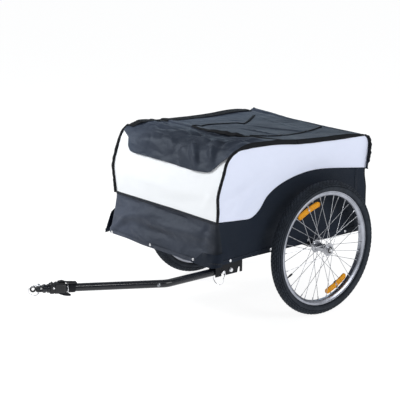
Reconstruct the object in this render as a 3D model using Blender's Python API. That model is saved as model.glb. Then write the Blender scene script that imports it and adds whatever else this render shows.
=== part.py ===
"""Bike cargo trailer: a steel frame with a cloth tub, two spoked wheels and a side tow arm.

Every piece is its own object. Sizes are in metres. Positions are measured from the middle of the
axle line: +X is the trailer's left side, +Y is backwards and +Z is up. The empty called trailer
carries them all and sets the origin on the ground, under the middle of the overall length.
"""
import math

import bmesh
import bpy
from mathutils import Matrix, Vector

# Clearances
GAP = 0.0003
RUNNING_GAP = 0.0003

# Wheels
TYRE_DIAMETER = 0.496
TYRE_WIDTH = 0.045
TYRE_WALL = 0.0035
TRACK = 0.692
TYRE_TO_TUB = 0.0345
RIM_DIAMETER = 0.422
RIM_WIDTH = 0.0264
RIM_FLANGE_HEIGHT = 0.0061
RIM_FLANGE_THICKNESS = 0.0014
RIM_DEPTH = 0.0155
RIM_CROWN_WIDTH = 0.017
INNER_TUBE_RADIUS = 0.0141
SPOKES_PER_FLANGE = 18
SPOKE_RADIUS = 0.001
SPOKE_LACING_ANGLE = math.radians(60)
SPOKE_STAGGER = 0.0013
SPOKE_RIM_OFFSET = 0.003
SPOKE_TURN = math.radians(-3.7)
WHEEL_SIDES = 36

# Hub, measured from the wheel's middle plane
HUB_LENGTH = 0.079
HUB_BARREL_RADIUS = 0.0145
HUB_FLANGE_RADIUS = 0.0236
HUB_FLANGE_SPACING = 0.0635
HUB_FLANGE_THICKNESS = 0.0034
HUB_NOSE_RADIUS = 0.0136
SPOKE_CIRCLE_RADIUS = 0.0205
BEARING_RADIUS = 0.011
BEARING_WIDTH = 0.007
HUB_SIDES = 16
STUB_AXLE_RADIUS = 0.006
STUB_AXLE_SHOULDER_RADIUS = 0.0085
STUB_AXLE_INSERTION = 0.055
STUB_AXLE_STAND_OUT = 0.0005
STUB_AXLE_COLLAR = 0.0065
BUTTON_STEM_RADIUS = 0.003
BUTTON_STEM_LENGTH = 0.010
BUTTON_HEAD_RADIUS = 0.0048
BUTTON_HEAD_THICKNESS = 0.0026
BUTTON_TRAVEL = 0.003

# Spoke reflectors
REFLECTOR_LENGTH = 0.112
REFLECTOR_HEIGHT = 0.022
REFLECTOR_THICKNESS = 0.0056
REFLECTOR_RADIUS = 0.170
REFLECTOR_ANGLE = math.radians(116)

# Valve
VALVE_RADIUS = 0.003
VALVE_LENGTH = 0.030
VALVE_ANGLE = math.radians(205)

# Base frame
RAIL_SIZE = 0.025
RAIL_WALL = 0.0015
RAIL_BOTTOM = 0.006
RAIL_SET_IN = 0.017
AXLE_TUBE_RADIUS = 0.011

# Hoops and top bars
HOOP_RADIUS = 0.008
HOOP_SIDES = 8
HOOP_CLEARANCE = 0.0012
BAR_RADIUS = 0.006

# Cloth tub
CLOTH = 0.0025
FRONT_WALL = 0.449
FRONT_BULGE = 0.013
BULGE_HEIGHT = 0.262
BULGE_RADIUS = 0.12
BULGE_STEPS = 2
SHOULDER_SET_BACK = 0.044
FRONT_HEM_FLARE = 0.035
REAR_WALL = 0.271
TOP_AT_FRONT = 0.403
TOP_AT_REAR = 0.3735
FRONT_SHOULDER = 0.075
REAR_SHOULDER = 0.036
ARC_STEPS = 5
WAIST_HEIGHT = 0.150
TOP_FLARE = 0.013
HEM_FLARE = 0.004
CORNER_FLARE = 0.018
CORNER_FLARE_LENGTH = 0.20
LEAN_LENGTH = 0.15
FRONT_HEM = 0.006
SIDE_HEM = 0.012
REAR_HEM = 0.006
FRONT_SEAM = 0.160
REAR_SEAM = 0.248

# The curve where white cloth meets black on each side, as (y, z)
SIDE_SEAM = ((-FRONT_WALL, FRONT_SEAM), (-0.345, 0.151), (-0.300, 0.151), (-0.262, 0.174), (-0.225, 0.2185),
             (-0.160, 0.2535), (-0.060, 0.276), (0.040, 0.278), (REAR_WALL, REAR_SEAM))

# Cover
COVER_FOLD = -0.100
APRON_STEPS = 3
APRON_HEM = 0.320
APRON_HALF_WIDTH = 0.215
REAR_DROP_HEM = 0.256
REAR_DROP_BULGE = 0.010
COVER_SAG = 0.007
COVER_SLACK = 0.006
COVER_HINGE_LIFT = 0.006

# Main folds in the loose front half of the cover: x, y, heading, length, width, height
COVER_FOLDS = ((0.02, -0.150, 4, 0.46, 0.022, 0.007),
               (-0.10, -0.205, -14, 0.30, 0.020, 0.005),
               (0.09, -0.255, 12, 0.26, 0.022, 0.005),
               (-0.06, -0.310, 6, 0.34, 0.024, 0.004),
               (0.20, -0.300, 62, 0.16, 0.020, 0.007),
               (0.05, -0.350, -5, 0.30, 0.022, 0.004),
               (-0.21, -0.285, -52, 0.14, 0.020, 0.004))

# Main folds in the black front panel: x, z, heading, length, width, height
FRONT_FOLDS = ((-0.17, 0.085, -38, 0.20, 0.020, 0.004),
               (-0.03, 0.070, -24, 0.26, 0.024, 0.004),
               (0.12, 0.085, -16, 0.24, 0.022, 0.003),
               (-0.24, 0.060, 58, 0.13, 0.018, 0.004))

# Tow bracket
BRACKET_FRONT = 0.460
BRACKET_REAR = 0.336
BRACKET_HEIGHT = 0.0425
BRACKET_WALL = 0.003
BRACKET_INNER_WIDTH = 0.0300
ARM_SET_IN = 0.004
ARM_HEIGHT = -0.0215
PIVOT_Y = -0.390
LOCK_RADIUS = 0.039
PIVOT_BOLT_RADIUS = 0.004
PIVOT_HEAD_RADIUS = 0.0075
PIVOT_HEAD_THICKNESS = 0.005
NUT_THICKNESS = 0.0055

# Tow arm
ARM_RADIUS = 0.0135
ARM_WALL = 0.0018
ARM_SIDES = 12
ARM_TAIL = 0.015
ARM_BEND_Y = -0.665
ARM_BEND_RADIUS = 0.070
EYE_X = 0.100
EYE_Y = -1.0975
EYE_HEIGHT = 0.005
ARM_BOLT_SETBACK = 0.020
ARM_BOLT_RADIUS = 0.0045
ARM_BOLT_HEIGHT = 0.003

# Lock pin and its bail
LOCK_PIN_RADIUS = 0.004
LOCK_PIN_TIP = 0.0075
LOCK_HEAD_RADIUS = 0.0065
LOCK_HEAD_THICKNESS = 0.009
BAIL_WIRE_RADIUS = 0.0012
LOCK_BAIL_DROP = 0.054

# Coupler, measured backwards from the middle of the eye along the arm
EYE_RADIUS = 0.0115
EYE_HOLE_RADIUS = 0.00525
EYE_THICKNESS = 0.006
HITCH_PIN_SETBACK = 0.018
HITCH_PIN_RADIUS = 0.004
HITCH_HEAD_RADIUS = 0.0062
HITCH_HEAD_HEIGHT = 0.0064
HITCH_PIN_TIP = 0.0165
TONGUE_RADIUS = 0.0080
TONGUE_THICKNESS = 0.009
FORK_WIDTH = 0.015
FORK_ARM_THICKNESS = 0.005
FORK_ROOT = 0.0295
SWIVEL_RADIUS = 0.0148
SWIVEL_FRONT = 0.034
SWIVEL_REAR = 0.055
SWIVEL_GROOVE_RADIUS = 0.0122
SWIVEL_SHANK_RADIUS = 0.006
COUPLER_REAR = 0.111
COUPLER_WIDTH = 0.0315
COUPLER_HEIGHT = 0.0325
COUPLER_RIDGE_HEIGHT = 0.004
COUPLER_RIDGE_FRONT = 0.074
SOCKET_DEPTH = 0.033
STRAP_FRONT = 0.120
STRAP_WIDTH = 0.022
STRAP_THICKNESS = 0.0024
STRAP_BUCKLE = 0.0045
RING_SETBACK = 0.1155
RING_RADIUS = 0.0165
RING_WIRE_RADIUS = 0.0012
HITCH_BAIL_REACH = 0.0385
HITCH_BAIL_DROP = 0.0215

# Worked out from the sizes above
AXLE_HEIGHT = TYRE_DIAMETER / 2
TYRE_RADIUS = TYRE_DIAMETER / 2
RIM_RADIUS = RIM_DIAMETER / 2
HALF_TRACK = TRACK / 2
AXLE_TUBE_HALF_LENGTH = HALF_TRACK - HUB_LENGTH / 2 - STUB_AXLE_COLLAR
WAIST_HALF_WIDTH = HALF_TRACK - TYRE_WIDTH / 2 - TYRE_TO_TUB
RAIL_HALF_SPAN = WAIST_HALF_WIDTH - RAIL_SET_IN
ARM_OFFSET = RAIL_HALF_SPAN - ARM_SET_IN
RAIL_TOP = RAIL_BOTTOM + RAIL_SIZE
ARM_ANGLE = math.atan2(ARM_OFFSET - EYE_X, ARM_BEND_Y - EYE_Y)
ARM_RISE = math.atan2(EYE_HEIGHT - ARM_HEIGHT, math.hypot(ARM_OFFSET - EYE_X, ARM_BEND_Y - EYE_Y))

# Colours: red, green, blue, roughness, metallic
PAINTS = {
    "black_steel": (0.012, 0.012, 0.014, 0.32, 0.3),
    "zinc_steel": (0.62, 0.63, 0.65, 0.30, 1.0),
    "alloy": (0.66, 0.67, 0.70, 0.28, 1.0),
    "rubber": (0.016, 0.017, 0.019, 0.55, 0.0),
    "amber": (0.95, 0.34, 0.02, 0.20, 0.0),
    "white_cloth": (0.83, 0.84, 0.90, 0.75, 0.0),
    "black_cloth": (0.024, 0.025, 0.030, 0.80, 0.0),
    "black_plastic": (0.020, 0.020, 0.022, 0.50, 0.0),
    "webbing": (0.018, 0.018, 0.020, 0.85, 0.0),
}


def paint(name):
    """The named paint as a material."""
    found = bpy.data.materials.get(name)
    if found:
        return found
    red, green, blue, roughness, metallic = PAINTS[name]
    made = bpy.data.materials.new(name)
    made.use_nodes = True
    shader = made.node_tree.nodes["Principled BSDF"]
    shader.inputs["Base Color"].default_value = (red, green, blue, 1.0)
    shader.inputs["Roughness"].default_value = roughness
    shader.inputs["Metallic"].default_value = metallic
    made.diffuse_color = (red, green, blue, 1.0)
    return made


def add_empty(name, parent, location=(0, 0, 0), turn=(0, 0, 0)):
    """A guide that carries pieces."""
    empty = bpy.data.objects.new(name, None)
    bpy.context.collection.objects.link(empty)
    empty.parent = parent
    empty.location = location
    empty.rotation_euler = turn
    return empty


def add_piece(name, mesh, paint_name, parent, smooth=True):
    """One object from a bmesh whose points are measured from its parent."""
    data = bpy.data.meshes.new(name)
    bmesh.ops.recalc_face_normals(mesh, faces=mesh.faces)
    mesh.to_mesh(data)
    mesh.free()
    if smooth:
        data.shade_smooth()
        data.set_sharp_from_angle(angle=math.radians(35))
    material = paint(paint_name).copy()
    material.name = name
    data.materials.append(material)
    piece = bpy.data.objects.new(name, data)
    bpy.context.collection.objects.link(piece)
    piece.parent = parent
    return piece


def cut(piece, mesh, operation="DIFFERENCE"):
    """Cut a shape from a piece, or join it on, with a Boolean that stays on the piece."""
    data = bpy.data.meshes.new(piece.name + "_tool")
    bmesh.ops.recalc_face_normals(mesh, faces=mesh.faces)
    mesh.to_mesh(data)
    mesh.free()
    tool = bpy.data.objects.new(piece.name + "_tool", data)
    bpy.context.collection.objects.link(tool)
    tool.parent = piece.parent
    tool.hide_render = True
    tool.display_type = "WIRE"
    step = piece.modifiers.new(operation.lower(), "BOOLEAN")
    step.operation = operation
    step.solver = "EXACT"
    step.object = tool


def block(low, high):
    """A box between two corners."""
    mesh = bmesh.new()
    bmesh.ops.create_cube(mesh, size=1.0)
    low, high = Vector(low), Vector(high)
    middle, size = (low + high) / 2, high - low
    for vert in mesh.verts:
        vert.co = Vector([middle[i] + vert.co[i] * size[i] for i in range(3)])
    return mesh


def turned(profile, sides, axis="X", centre=(0, 0, 0)):
    """A turned solid from an outline of (along, radius) points.

    The outline closes on itself, unless it starts and ends on the axis with flat ends.
    """
    mesh = bmesh.new()
    centre = Vector(centre)
    solid = profile[0][1] == 0
    if solid:
        profile = profile[1:-1]
    rings = []
    for along, radius in profile:
        angles = [2 * math.pi * k / sides for k in range(sides)]
        rings.append([mesh.verts.new(centre + spun(along, radius, angle, axis)) for angle in angles])
    if solid:
        mesh.faces.new(rings[0])
        mesh.faces.new(rings[-1])
    for ring, after in zip(rings, rings[1:] + ([] if solid else [rings[0]])):
        for k in range(sides):
            n = (k + 1) % sides
            mesh.faces.new([ring[k], ring[n], after[n], after[k]])
    return mesh


def spun(along, radius, angle, axis):
    """A point at a distance along an axis and a radius and angle round it."""
    across, up = radius * math.cos(angle), radius * math.sin(angle)
    if axis == "X":
        return Vector((along, across, up))
    if axis == "Y":
        return Vector((across, along, up))
    return Vector((across, up, along))


def rod(start, end, radius, sides=16, axis="X", centre=(0, 0, 0)):
    """A round bar along an axis."""
    profile = [(start, 0), (start, radius), (end, radius), (end, 0)]
    return turned(profile, sides, axis, centre)


def joined(*meshes):
    """Several bmeshes as one, still as separate bodies."""
    whole = bmesh.new()
    for mesh in meshes:
        data = bpy.data.meshes.new("part")
        bmesh.ops.recalc_face_normals(mesh, faces=mesh.faces)
        mesh.to_mesh(data)
        mesh.free()
        whole.from_mesh(data)
        bpy.data.meshes.remove(data)
    return whole


def rounded(points, radii, steps):
    """A polyline whose inner corners are replaced by arcs of the given radii and steps."""
    points = [Vector(point) for point in points]
    line = [points[0]]
    for before, corner, after, radius, count in zip(points, points[1:], points[2:], radii, steps):
        back, forth = (before - corner).normalized(), (after - corner).normalized()
        half = back.angle(forth) / 2
        reach = radius / math.tan(half)
        centre = corner + (back + forth).normalized() * radius / math.sin(half)
        first, last = corner + back * reach - centre, corner + forth * reach - centre
        turn = first.angle(last)
        for k in range(count + 1):
            share = k / count
            point = (first * math.sin((1 - share) * turn) + last * math.sin(share * turn)) / math.sin(turn)
            line.append(centre + point)
    line.append(points[-1])
    return line


def swept(line, radius, sides, bore=0.0):
    """A round bar or an open tube along a line of points."""
    mesh = bmesh.new()
    line = [Vector(point) for point in line]
    heads = []
    for k in range(len(line)):
        ahead = line[min(k + 1, len(line) - 1)] - line[k]
        behind = line[k] - line[max(k - 1, 0)]
        heads.append((ahead.normalized() + behind.normalized()).normalized())
    side = heads[0].cross(Vector((0.31, 0.17, 0.94))).normalized()
    shells = [[], []] if bore else [[]]
    for point, head in zip(line, heads):
        side = (side - head * side.dot(head)).normalized()
        up = head.cross(side)
        for shell, size in zip(shells, (radius, bore)):
            ring = []
            for k in range(sides):
                angle = 2 * math.pi * k / sides
                ring.append(mesh.verts.new(point + size * (side * math.cos(angle) + up * math.sin(angle))))
            shell.append(ring)
    for shell in shells:
        for ring, after in zip(shell, shell[1:]):
            for k in range(sides):
                n = (k + 1) % sides
                mesh.faces.new([ring[k], ring[n], after[n], after[k]])
    if bore:
        for end in (0, -1):
            for k in range(sides):
                n = (k + 1) % sides
                outer, inner = shells[0][end], shells[1][end]
                mesh.faces.new([outer[k], outer[n], inner[n], inner[k]])
    else:
        mesh.faces.new(shells[0][0])
        mesh.faces.new(list(reversed(shells[0][-1])))
    return mesh


def sheet(outer, inner, across, along):
    """A closed sheet between two surfaces, each a function of two shares from 0 to 1."""
    mesh = bmesh.new()
    faces = []
    for surface in (outer, inner):
        rows = []
        for j in range(along + 1):
            rows.append([mesh.verts.new(surface(i / across, j / along)) for i in range(across + 1)])
        faces.append(rows)
        for j in range(along):
            for i in range(across):
                mesh.faces.new([rows[j][i], rows[j][i + 1], rows[j + 1][i + 1], rows[j + 1][i]])
    top, bottom = faces
    for j in range(along):
        for i in (0, across):
            mesh.faces.new([top[j][i], top[j + 1][i], bottom[j + 1][i], bottom[j][i]])
    for i in range(across):
        for j in (0, along):
            mesh.faces.new([top[j][i], top[j][i + 1], bottom[j][i + 1], bottom[j][i]])
    return mesh


def smooth_step(value):
    """0 below 0, 1 above 1 and smooth between."""
    value = min(1.0, max(0.0, value))
    return value * value * (3 - 2 * value)


def fold_height(folds, x, y):
    """The height that soft ridges and hollows add at a point of a cloth."""
    total = 0.0
    for fold_x, fold_y, heading, length, width, height in folds:
        turn = math.radians(heading)
        along = (x - fold_x) * math.cos(turn) + (y - fold_y) * math.sin(turn)
        across = (y - fold_y) * math.cos(turn) - (x - fold_x) * math.sin(turn)
        total += height * math.exp(-(across / width) ** 2 - (along / (0.5 * length)) ** 4)
    return total


def side_seam_height(y):
    """The height of the side's colour seam at a place along the trailer."""
    points = SIDE_SEAM
    slopes = []
    for k in range(len(points)):
        before, after = points[max(k - 1, 0)], points[min(k + 1, len(points) - 1)]
        slopes.append((after[1] - before[1]) / (after[0] - before[0]))
    y = min(points[-1][0], max(points[0][0], y))
    for k in range(len(points) - 1):
        (y0, z0), (y1, z1) = points[k], points[k + 1]
        if y <= y1:
            break
    span = y1 - y0
    t = (y - y0) / span
    return (z0 * (1 + 2 * t) * (1 - t) ** 2 + slopes[k] * span * t * (1 - t) ** 2
            + z1 * t * t * (3 - 2 * t) - slopes[k + 1] * span * t * t * (1 - t))


def side_x(y, z):
    """The half width of the tub at a place on its side."""
    if z > WAIST_HEIGHT:
        flare = TOP_FLARE * ((z - WAIST_HEIGHT) / (TOP_AT_FRONT - WAIST_HEIGHT)) ** 2
    else:
        flare = HEM_FLARE * ((WAIST_HEIGHT - z) / WAIST_HEIGHT) ** 2
    near_front = smooth_step((CORNER_FLARE_LENGTH - FRONT_WALL - y) / CORNER_FLARE_LENGTH)
    near_hem = smooth_step((WAIST_HEIGHT - z) / WAIST_HEIGHT)
    return WAIST_HALF_WIDTH + flare + CORNER_FLARE * near_front * near_hem


def front_y(z):
    """The front wall's outer face at a height: upright above the seam and flared below it."""
    drop = max(0.0, FRONT_SEAM - z) / FRONT_SEAM
    return -FRONT_WALL - FRONT_HEM_FLARE * drop ** 1.3


def top_height(y):
    """The height of the straight run of the tub's top."""
    front = SHOULDER_SET_BACK - FRONT_WALL
    slope = (TOP_AT_REAR - TOP_AT_FRONT) / (REAR_WALL - front)
    return TOP_AT_FRONT + slope * (y - front)


def shell_line(inset):
    """The tub's side outline above the seams, drawn in by an inset, as (0, y, z) from front to rear."""
    corners = [Vector(corner) for corner in (
        (-FRONT_WALL, FRONT_SEAM), (-FRONT_WALL - FRONT_BULGE, BULGE_HEIGHT),
        (SHOULDER_SET_BACK - FRONT_WALL, TOP_AT_FRONT), (REAR_WALL, TOP_AT_REAR), (REAR_WALL, REAR_SEAM))]
    heads = [(after - before).normalized() for before, after in zip(corners, corners[1:])]
    inward = [Vector((head.y, -head.x)) for head in heads]
    drawn = [Vector((corners[0].x + inset / inward[0].x, FRONT_SEAM))]
    for k in range(1, len(corners) - 1):
        both = inward[k - 1] + inward[k]
        drawn.append(corners[k] + both * inset / (1 + inward[k - 1].dot(inward[k])))
    drawn.append(Vector((REAR_WALL - inset, REAR_SEAM)))
    radii = [BULGE_RADIUS - inset, FRONT_SHOULDER - inset, REAR_SHOULDER - inset]
    steps = [BULGE_STEPS, ARC_STEPS, ARC_STEPS]
    return rounded([(0, corner.x, corner.y) for corner in drawn], radii, steps)


def front_wall_line(inset):
    """The front wall's points, from the seam over the bulge up to the shoulder."""
    return shell_line(inset)[:BULGE_STEPS + 3]


def wall_y(inset, z):
    """The front wall's place along the trailer at a height, and the shoulder's start above it."""
    line = front_wall_line(inset)
    if z >= line[-1].z:
        return line[-1].y
    for before, after in zip(line, line[1:]):
        if z <= after.z:
            break
    return before.y + (after.y - before.y) * (z - before.z) / (after.z - before.z)


def front_arc(inset):
    """The front shoulder's points, from the wall up to the straight top."""
    return shell_line(inset)[2 + BULGE_STEPS:3 + BULGE_STEPS + ARC_STEPS]


def rear_arc(inset):
    """The rear shoulder's points, from the straight top down to the wall."""
    return shell_line(inset)[3 + BULGE_STEPS + ARC_STEPS:-1]


def run_between(start, end, count):
    """Points between two points, without its ends."""
    return [start.lerp(end, k / (count + 1)) for k in range(1, count + 1)]


def strip(outer, inner, width, across, shift=None):
    """A closed sheet across the trailer, from two matching lines of (0, y, z) points.

    Width gives the two sides' x at a row, and shift may move a point by its x and row.
    """
    along = len(outer) - 1

    def surface(line):
        def place(u, v):
            row = round(v * along)
            left, right = width(row, line[row])
            x = left + u * (right - left)
            point = Vector((x, line[row].y, line[row].z))
            return point + shift(x, row, line[row]) if shift else point
        return place

    return sheet(surface(outer), surface(inner), across, along)


def make_tyre(side):
    """A hollow tyre whose beads sit between the rim's flanges."""
    bead_x = RIM_WIDTH / 2 - RIM_FLANGE_THICKNESS - GAP
    bead_low = RIM_RADIUS - RIM_FLANGE_HEIGHT + GAP
    bead_high = RIM_RADIUS + GAP
    half = TYRE_WIDTH / 2
    middle = TYRE_RADIUS - half
    outer, inner = [], []
    for k in range(7):
        angle = math.radians(-28 + k * 236 / 6)
        outer.append((half * math.cos(angle), middle + half * math.sin(angle)))
    for k in range(4):
        angle = math.radians(200 - k * 220 / 3)
        hollow = half - TYRE_WALL
        inner.append((hollow * math.cos(angle), middle + hollow * math.sin(angle)))
    toe = bead_x - TYRE_WALL
    neck = bead_high + TYRE_WALL
    profile = [(toe, neck), (toe, bead_low), (bead_x, bead_low), (bead_x, bead_high)] + outer
    profile += [(-bead_x, bead_high), (-bead_x, bead_low), (-toe, bead_low), (-toe, neck)] + inner
    return turned([(side * x, radius) for x, radius in profile], WHEEL_SIDES)


def make_rim(side):
    """A box rim with two flanges."""
    bed = RIM_RADIUS - RIM_FLANGE_HEIGHT
    crown = RIM_RADIUS - RIM_DEPTH
    out = RIM_WIDTH / 2
    inside = out - RIM_FLANGE_THICKNESS
    low = RIM_CROWN_WIDTH / 2
    shoulder = bed - RIM_FLANGE_THICKNESS
    profile = [(out, RIM_RADIUS), (inside, RIM_RADIUS), (inside, bed), (-inside, bed), (-inside, RIM_RADIUS),
               (-out, RIM_RADIUS), (-out, shoulder), (-low, crown), (low, crown), (out, shoulder)]
    return turned([(side * x, radius) for x, radius in profile], WHEEL_SIDES)


def make_spoke(side, hub_angle, rim_angle, flange_x, rim_x):
    """One thin spoke from the flange to just inside the rim."""
    crown = (RIM_RADIUS - RIM_DEPTH) * math.cos(math.pi / WHEEL_SIDES)
    reach = crown / math.cos(math.pi / WHEEL_SIDES + SPOKE_TURN) - 2 * GAP
    start = Vector((side * flange_x, SPOKE_CIRCLE_RADIUS * math.cos(hub_angle),
                    SPOKE_CIRCLE_RADIUS * math.sin(hub_angle)))
    end = Vector((side * rim_x, reach * math.cos(rim_angle), reach * math.sin(rim_angle)))
    return swept([start, end], SPOKE_RADIUS, 3)


def make_spokes(side):
    """All the spokes of a wheel, laced over three crossings."""
    spokes = []
    flange = HUB_FLANGE_SPACING / 2
    step = 2 * math.pi / (2 * SPOKES_PER_FLANGE)
    for k in range(SPOKES_PER_FLANGE // 2):
        for flange_side, first in ((1, 0), (-1, 1)):
            for trailing in (0, 1):
                rim_angle = (4 * k + first + 2 * trailing) * step + SPOKE_TURN
                lean = -SPOKE_LACING_ANGLE if trailing else SPOKE_LACING_ANGLE
                stagger = SPOKE_STAGGER * (-1 if trailing else 1)
                spokes.append(make_spoke(side, rim_angle + lean, rim_angle,
                                         flange_side * (flange + stagger),
                                         flange_side * (SPOKE_RIM_OFFSET + stagger)))
    return joined(*spokes)


def make_hub(side):
    """The hub shell: a barrel, two flanges and a bearing seat in each end."""
    end = HUB_LENGTH / 2
    out = (HUB_FLANGE_SPACING + HUB_FLANGE_THICKNESS) / 2
    inside = (HUB_FLANGE_SPACING - HUB_FLANGE_THICKNESS) / 2
    seat = BEARING_RADIUS + GAP
    bore = STUB_AXLE_RADIUS + 3 * RUNNING_GAP
    shelf = end - BEARING_WIDTH - GAP
    half = [(end, seat), (end, HUB_NOSE_RADIUS), (out, HUB_NOSE_RADIUS), (out, HUB_FLANGE_RADIUS),
            (inside, HUB_FLANGE_RADIUS), (inside, HUB_BARREL_RADIUS)]
    profile = half + [(-x, radius) for x, radius in reversed(half)]
    profile += [(-shelf, seat), (-shelf, bore), (shelf, bore), (shelf, seat)]
    return turned([(side * x, radius) for x, radius in profile], HUB_SIDES)


def make_bearing(side, end_side):
    """A plain ring in the seat at one end of the hub."""
    outer = side * end_side * HUB_LENGTH / 2
    inner = side * end_side * (HUB_LENGTH / 2 - BEARING_WIDTH)
    bore = STUB_AXLE_RADIUS + RUNNING_GAP
    profile = [(outer, bore), (outer, BEARING_RADIUS), (inner, BEARING_RADIUS), (inner, bore)]
    return turned(profile, HUB_SIDES)


def make_stub_axle(side):
    """The axle that plugs into the cross tube, with a shoulder and a bore for the button."""
    tube_end = AXLE_TUBE_HALF_LENGTH - HALF_TRACK
    hub_end = -HUB_LENGTH / 2
    outer = HUB_LENGTH / 2 + STUB_AXLE_STAND_OUT
    bore = BUTTON_STEM_RADIUS + RUNNING_GAP
    floor = outer - BUTTON_STEM_LENGTH - BUTTON_TRAVEL - 2 * GAP
    profile = [(tube_end - STUB_AXLE_INSERTION, 0), (tube_end - STUB_AXLE_INSERTION, STUB_AXLE_RADIUS),
               (tube_end + GAP, STUB_AXLE_RADIUS), (tube_end + GAP, STUB_AXLE_SHOULDER_RADIUS),
               (hub_end - GAP, STUB_AXLE_SHOULDER_RADIUS), (hub_end - GAP, STUB_AXLE_RADIUS),
               (outer, STUB_AXLE_RADIUS), (outer, bore), (floor, bore), (floor, 0)]
    return turned([(side * x, radius) for x, radius in profile], HUB_SIDES)


def make_release_button(side):
    """The push button in the axle's outer end, measured from the axle's end face."""
    low = BUTTON_TRAVEL + GAP
    high = low + BUTTON_HEAD_THICKNESS
    profile = [(-BUTTON_STEM_LENGTH, 0), (-BUTTON_STEM_LENGTH, BUTTON_STEM_RADIUS), (low, BUTTON_STEM_RADIUS),
               (low, BUTTON_HEAD_RADIUS), (high - 0.0008, BUTTON_HEAD_RADIUS),
               (high, BUTTON_HEAD_RADIUS - 0.0008), (high, 0)]
    return turned([(side * x, radius) for x, radius in profile], HUB_SIDES)


def make_reflector(angle):
    """A long reflector with round ends, set between the two sheets of spokes."""
    mesh = bmesh.new()
    half_height = REFLECTOR_HEIGHT / 2
    half_length = REFLECTOR_LENGTH / 2 - half_height
    outline = []
    for end, start in ((1, -90), (-1, 90)):
        for k in range(5):
            turn = math.radians(start + 45 * k)
            outline.append((end * half_length + half_height * math.cos(turn), half_height * math.sin(turn)))
    radial = Vector((0, math.cos(angle), math.sin(angle)))
    tangent = Vector((0, -math.sin(angle), math.cos(angle)))
    layers = []
    for x in (-REFLECTOR_THICKNESS / 2, REFLECTOR_THICKNESS / 2):
        ring = []
        for along, out in outline:
            sag = along * along / (2 * REFLECTOR_RADIUS)
            place = radial * (REFLECTOR_RADIUS + out - sag) + tangent * along
            ring.append(mesh.verts.new(place + Vector((x, 0, 0))))
        layers.append(ring)
    count = len(outline)
    for k in range(count):
        n = (k + 1) % count
        mesh.faces.new([layers[0][k], layers[0][n], layers[1][n], layers[1][k]])
    mesh.faces.new(layers[0])
    mesh.faces.new(list(reversed(layers[1])))
    return mesh


def make_valve():
    """The valve stem, which stands on the rim's crown and points at the hub."""
    foot = (RIM_RADIUS - RIM_DEPTH) * math.cos(math.pi / WHEEL_SIDES) - GAP
    radial = Vector((0, math.cos(VALVE_ANGLE), math.sin(VALVE_ANGLE)))
    return swept([radial * foot, radial * (foot - VALVE_LENGTH)], VALVE_RADIUS, 8)


def make_wheel(trailer, side_name, side):
    """One wheel with its stub axle. The wheel turns about the empty that carries it."""
    centre = (side * HALF_TRACK, 0, 0)
    spin = add_empty("wheel_axis_" + side_name, trailer, centre)
    add_piece("tyre_" + side_name, make_tyre(side), "rubber", spin)
    add_piece("rim_" + side_name, make_rim(side), "alloy", spin)
    tube_radius = TYRE_RADIUS - TYRE_WIDTH / 2
    tube = [(INNER_TUBE_RADIUS * math.cos(math.radians(72 * k)),
             tube_radius + INNER_TUBE_RADIUS * math.sin(math.radians(72 * k))) for k in range(5)]
    add_piece("inner_tube_" + side_name, turned(tube, WHEEL_SIDES), "rubber", spin)
    hub = add_piece("spoked_hub_" + side_name, make_hub(side), "alloy", spin)
    cut(hub, make_spokes(side), "UNION")
    add_piece("outer_bearing_" + side_name, make_bearing(side, 1), "zinc_steel", spin)
    add_piece("inner_bearing_" + side_name, make_bearing(side, -1), "zinc_steel", spin)
    add_piece("upper_reflector_" + side_name, make_reflector(REFLECTOR_ANGLE), "amber", spin, smooth=False)
    add_piece("lower_reflector_" + side_name, make_reflector(REFLECTOR_ANGLE + math.pi), "amber", spin,
              smooth=False)
    add_piece("valve_" + side_name, make_valve(), "black_plastic", spin)
    still = add_empty("axle_seat_" + side_name, trailer, centre)
    add_piece("stub_axle_" + side_name, make_stub_axle(side), "zinc_steel", still)
    press = add_empty("button_axis_" + side_name, still,
                      (side * (HUB_LENGTH / 2 + STUB_AXLE_STAND_OUT), 0, 0))
    add_piece("release_button_" + side_name, make_release_button(side), "zinc_steel", press)


def square_tube(start, end, axis):
    """A hollow square rail between two points that lie along an axis."""
    half = RAIL_SIZE / 2
    inner = half - RAIL_WALL
    across = [0, 0, 0]
    along = "XYZ".index(axis)
    sides = [i for i in range(3) if i != along]
    mesh = bmesh.new()
    rings = []
    for point, size in ((start, half), (end, half), (end, inner), (start, inner)):
        ring = []
        for a, b in ((-1, -1), (1, -1), (1, 1), (-1, 1)):
            across[sides[0]], across[sides[1]], across[along] = a * size, b * size, 0
            ring.append(mesh.verts.new(Vector(point) + Vector(across)))
        rings.append(ring)
    for ring, after in zip(rings, rings[1:] + rings[:1]):
        for k in range(4):
            n = (k + 1) % 4
            mesh.faces.new([ring[k], ring[n], after[n], after[k]])
    return mesh


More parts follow.
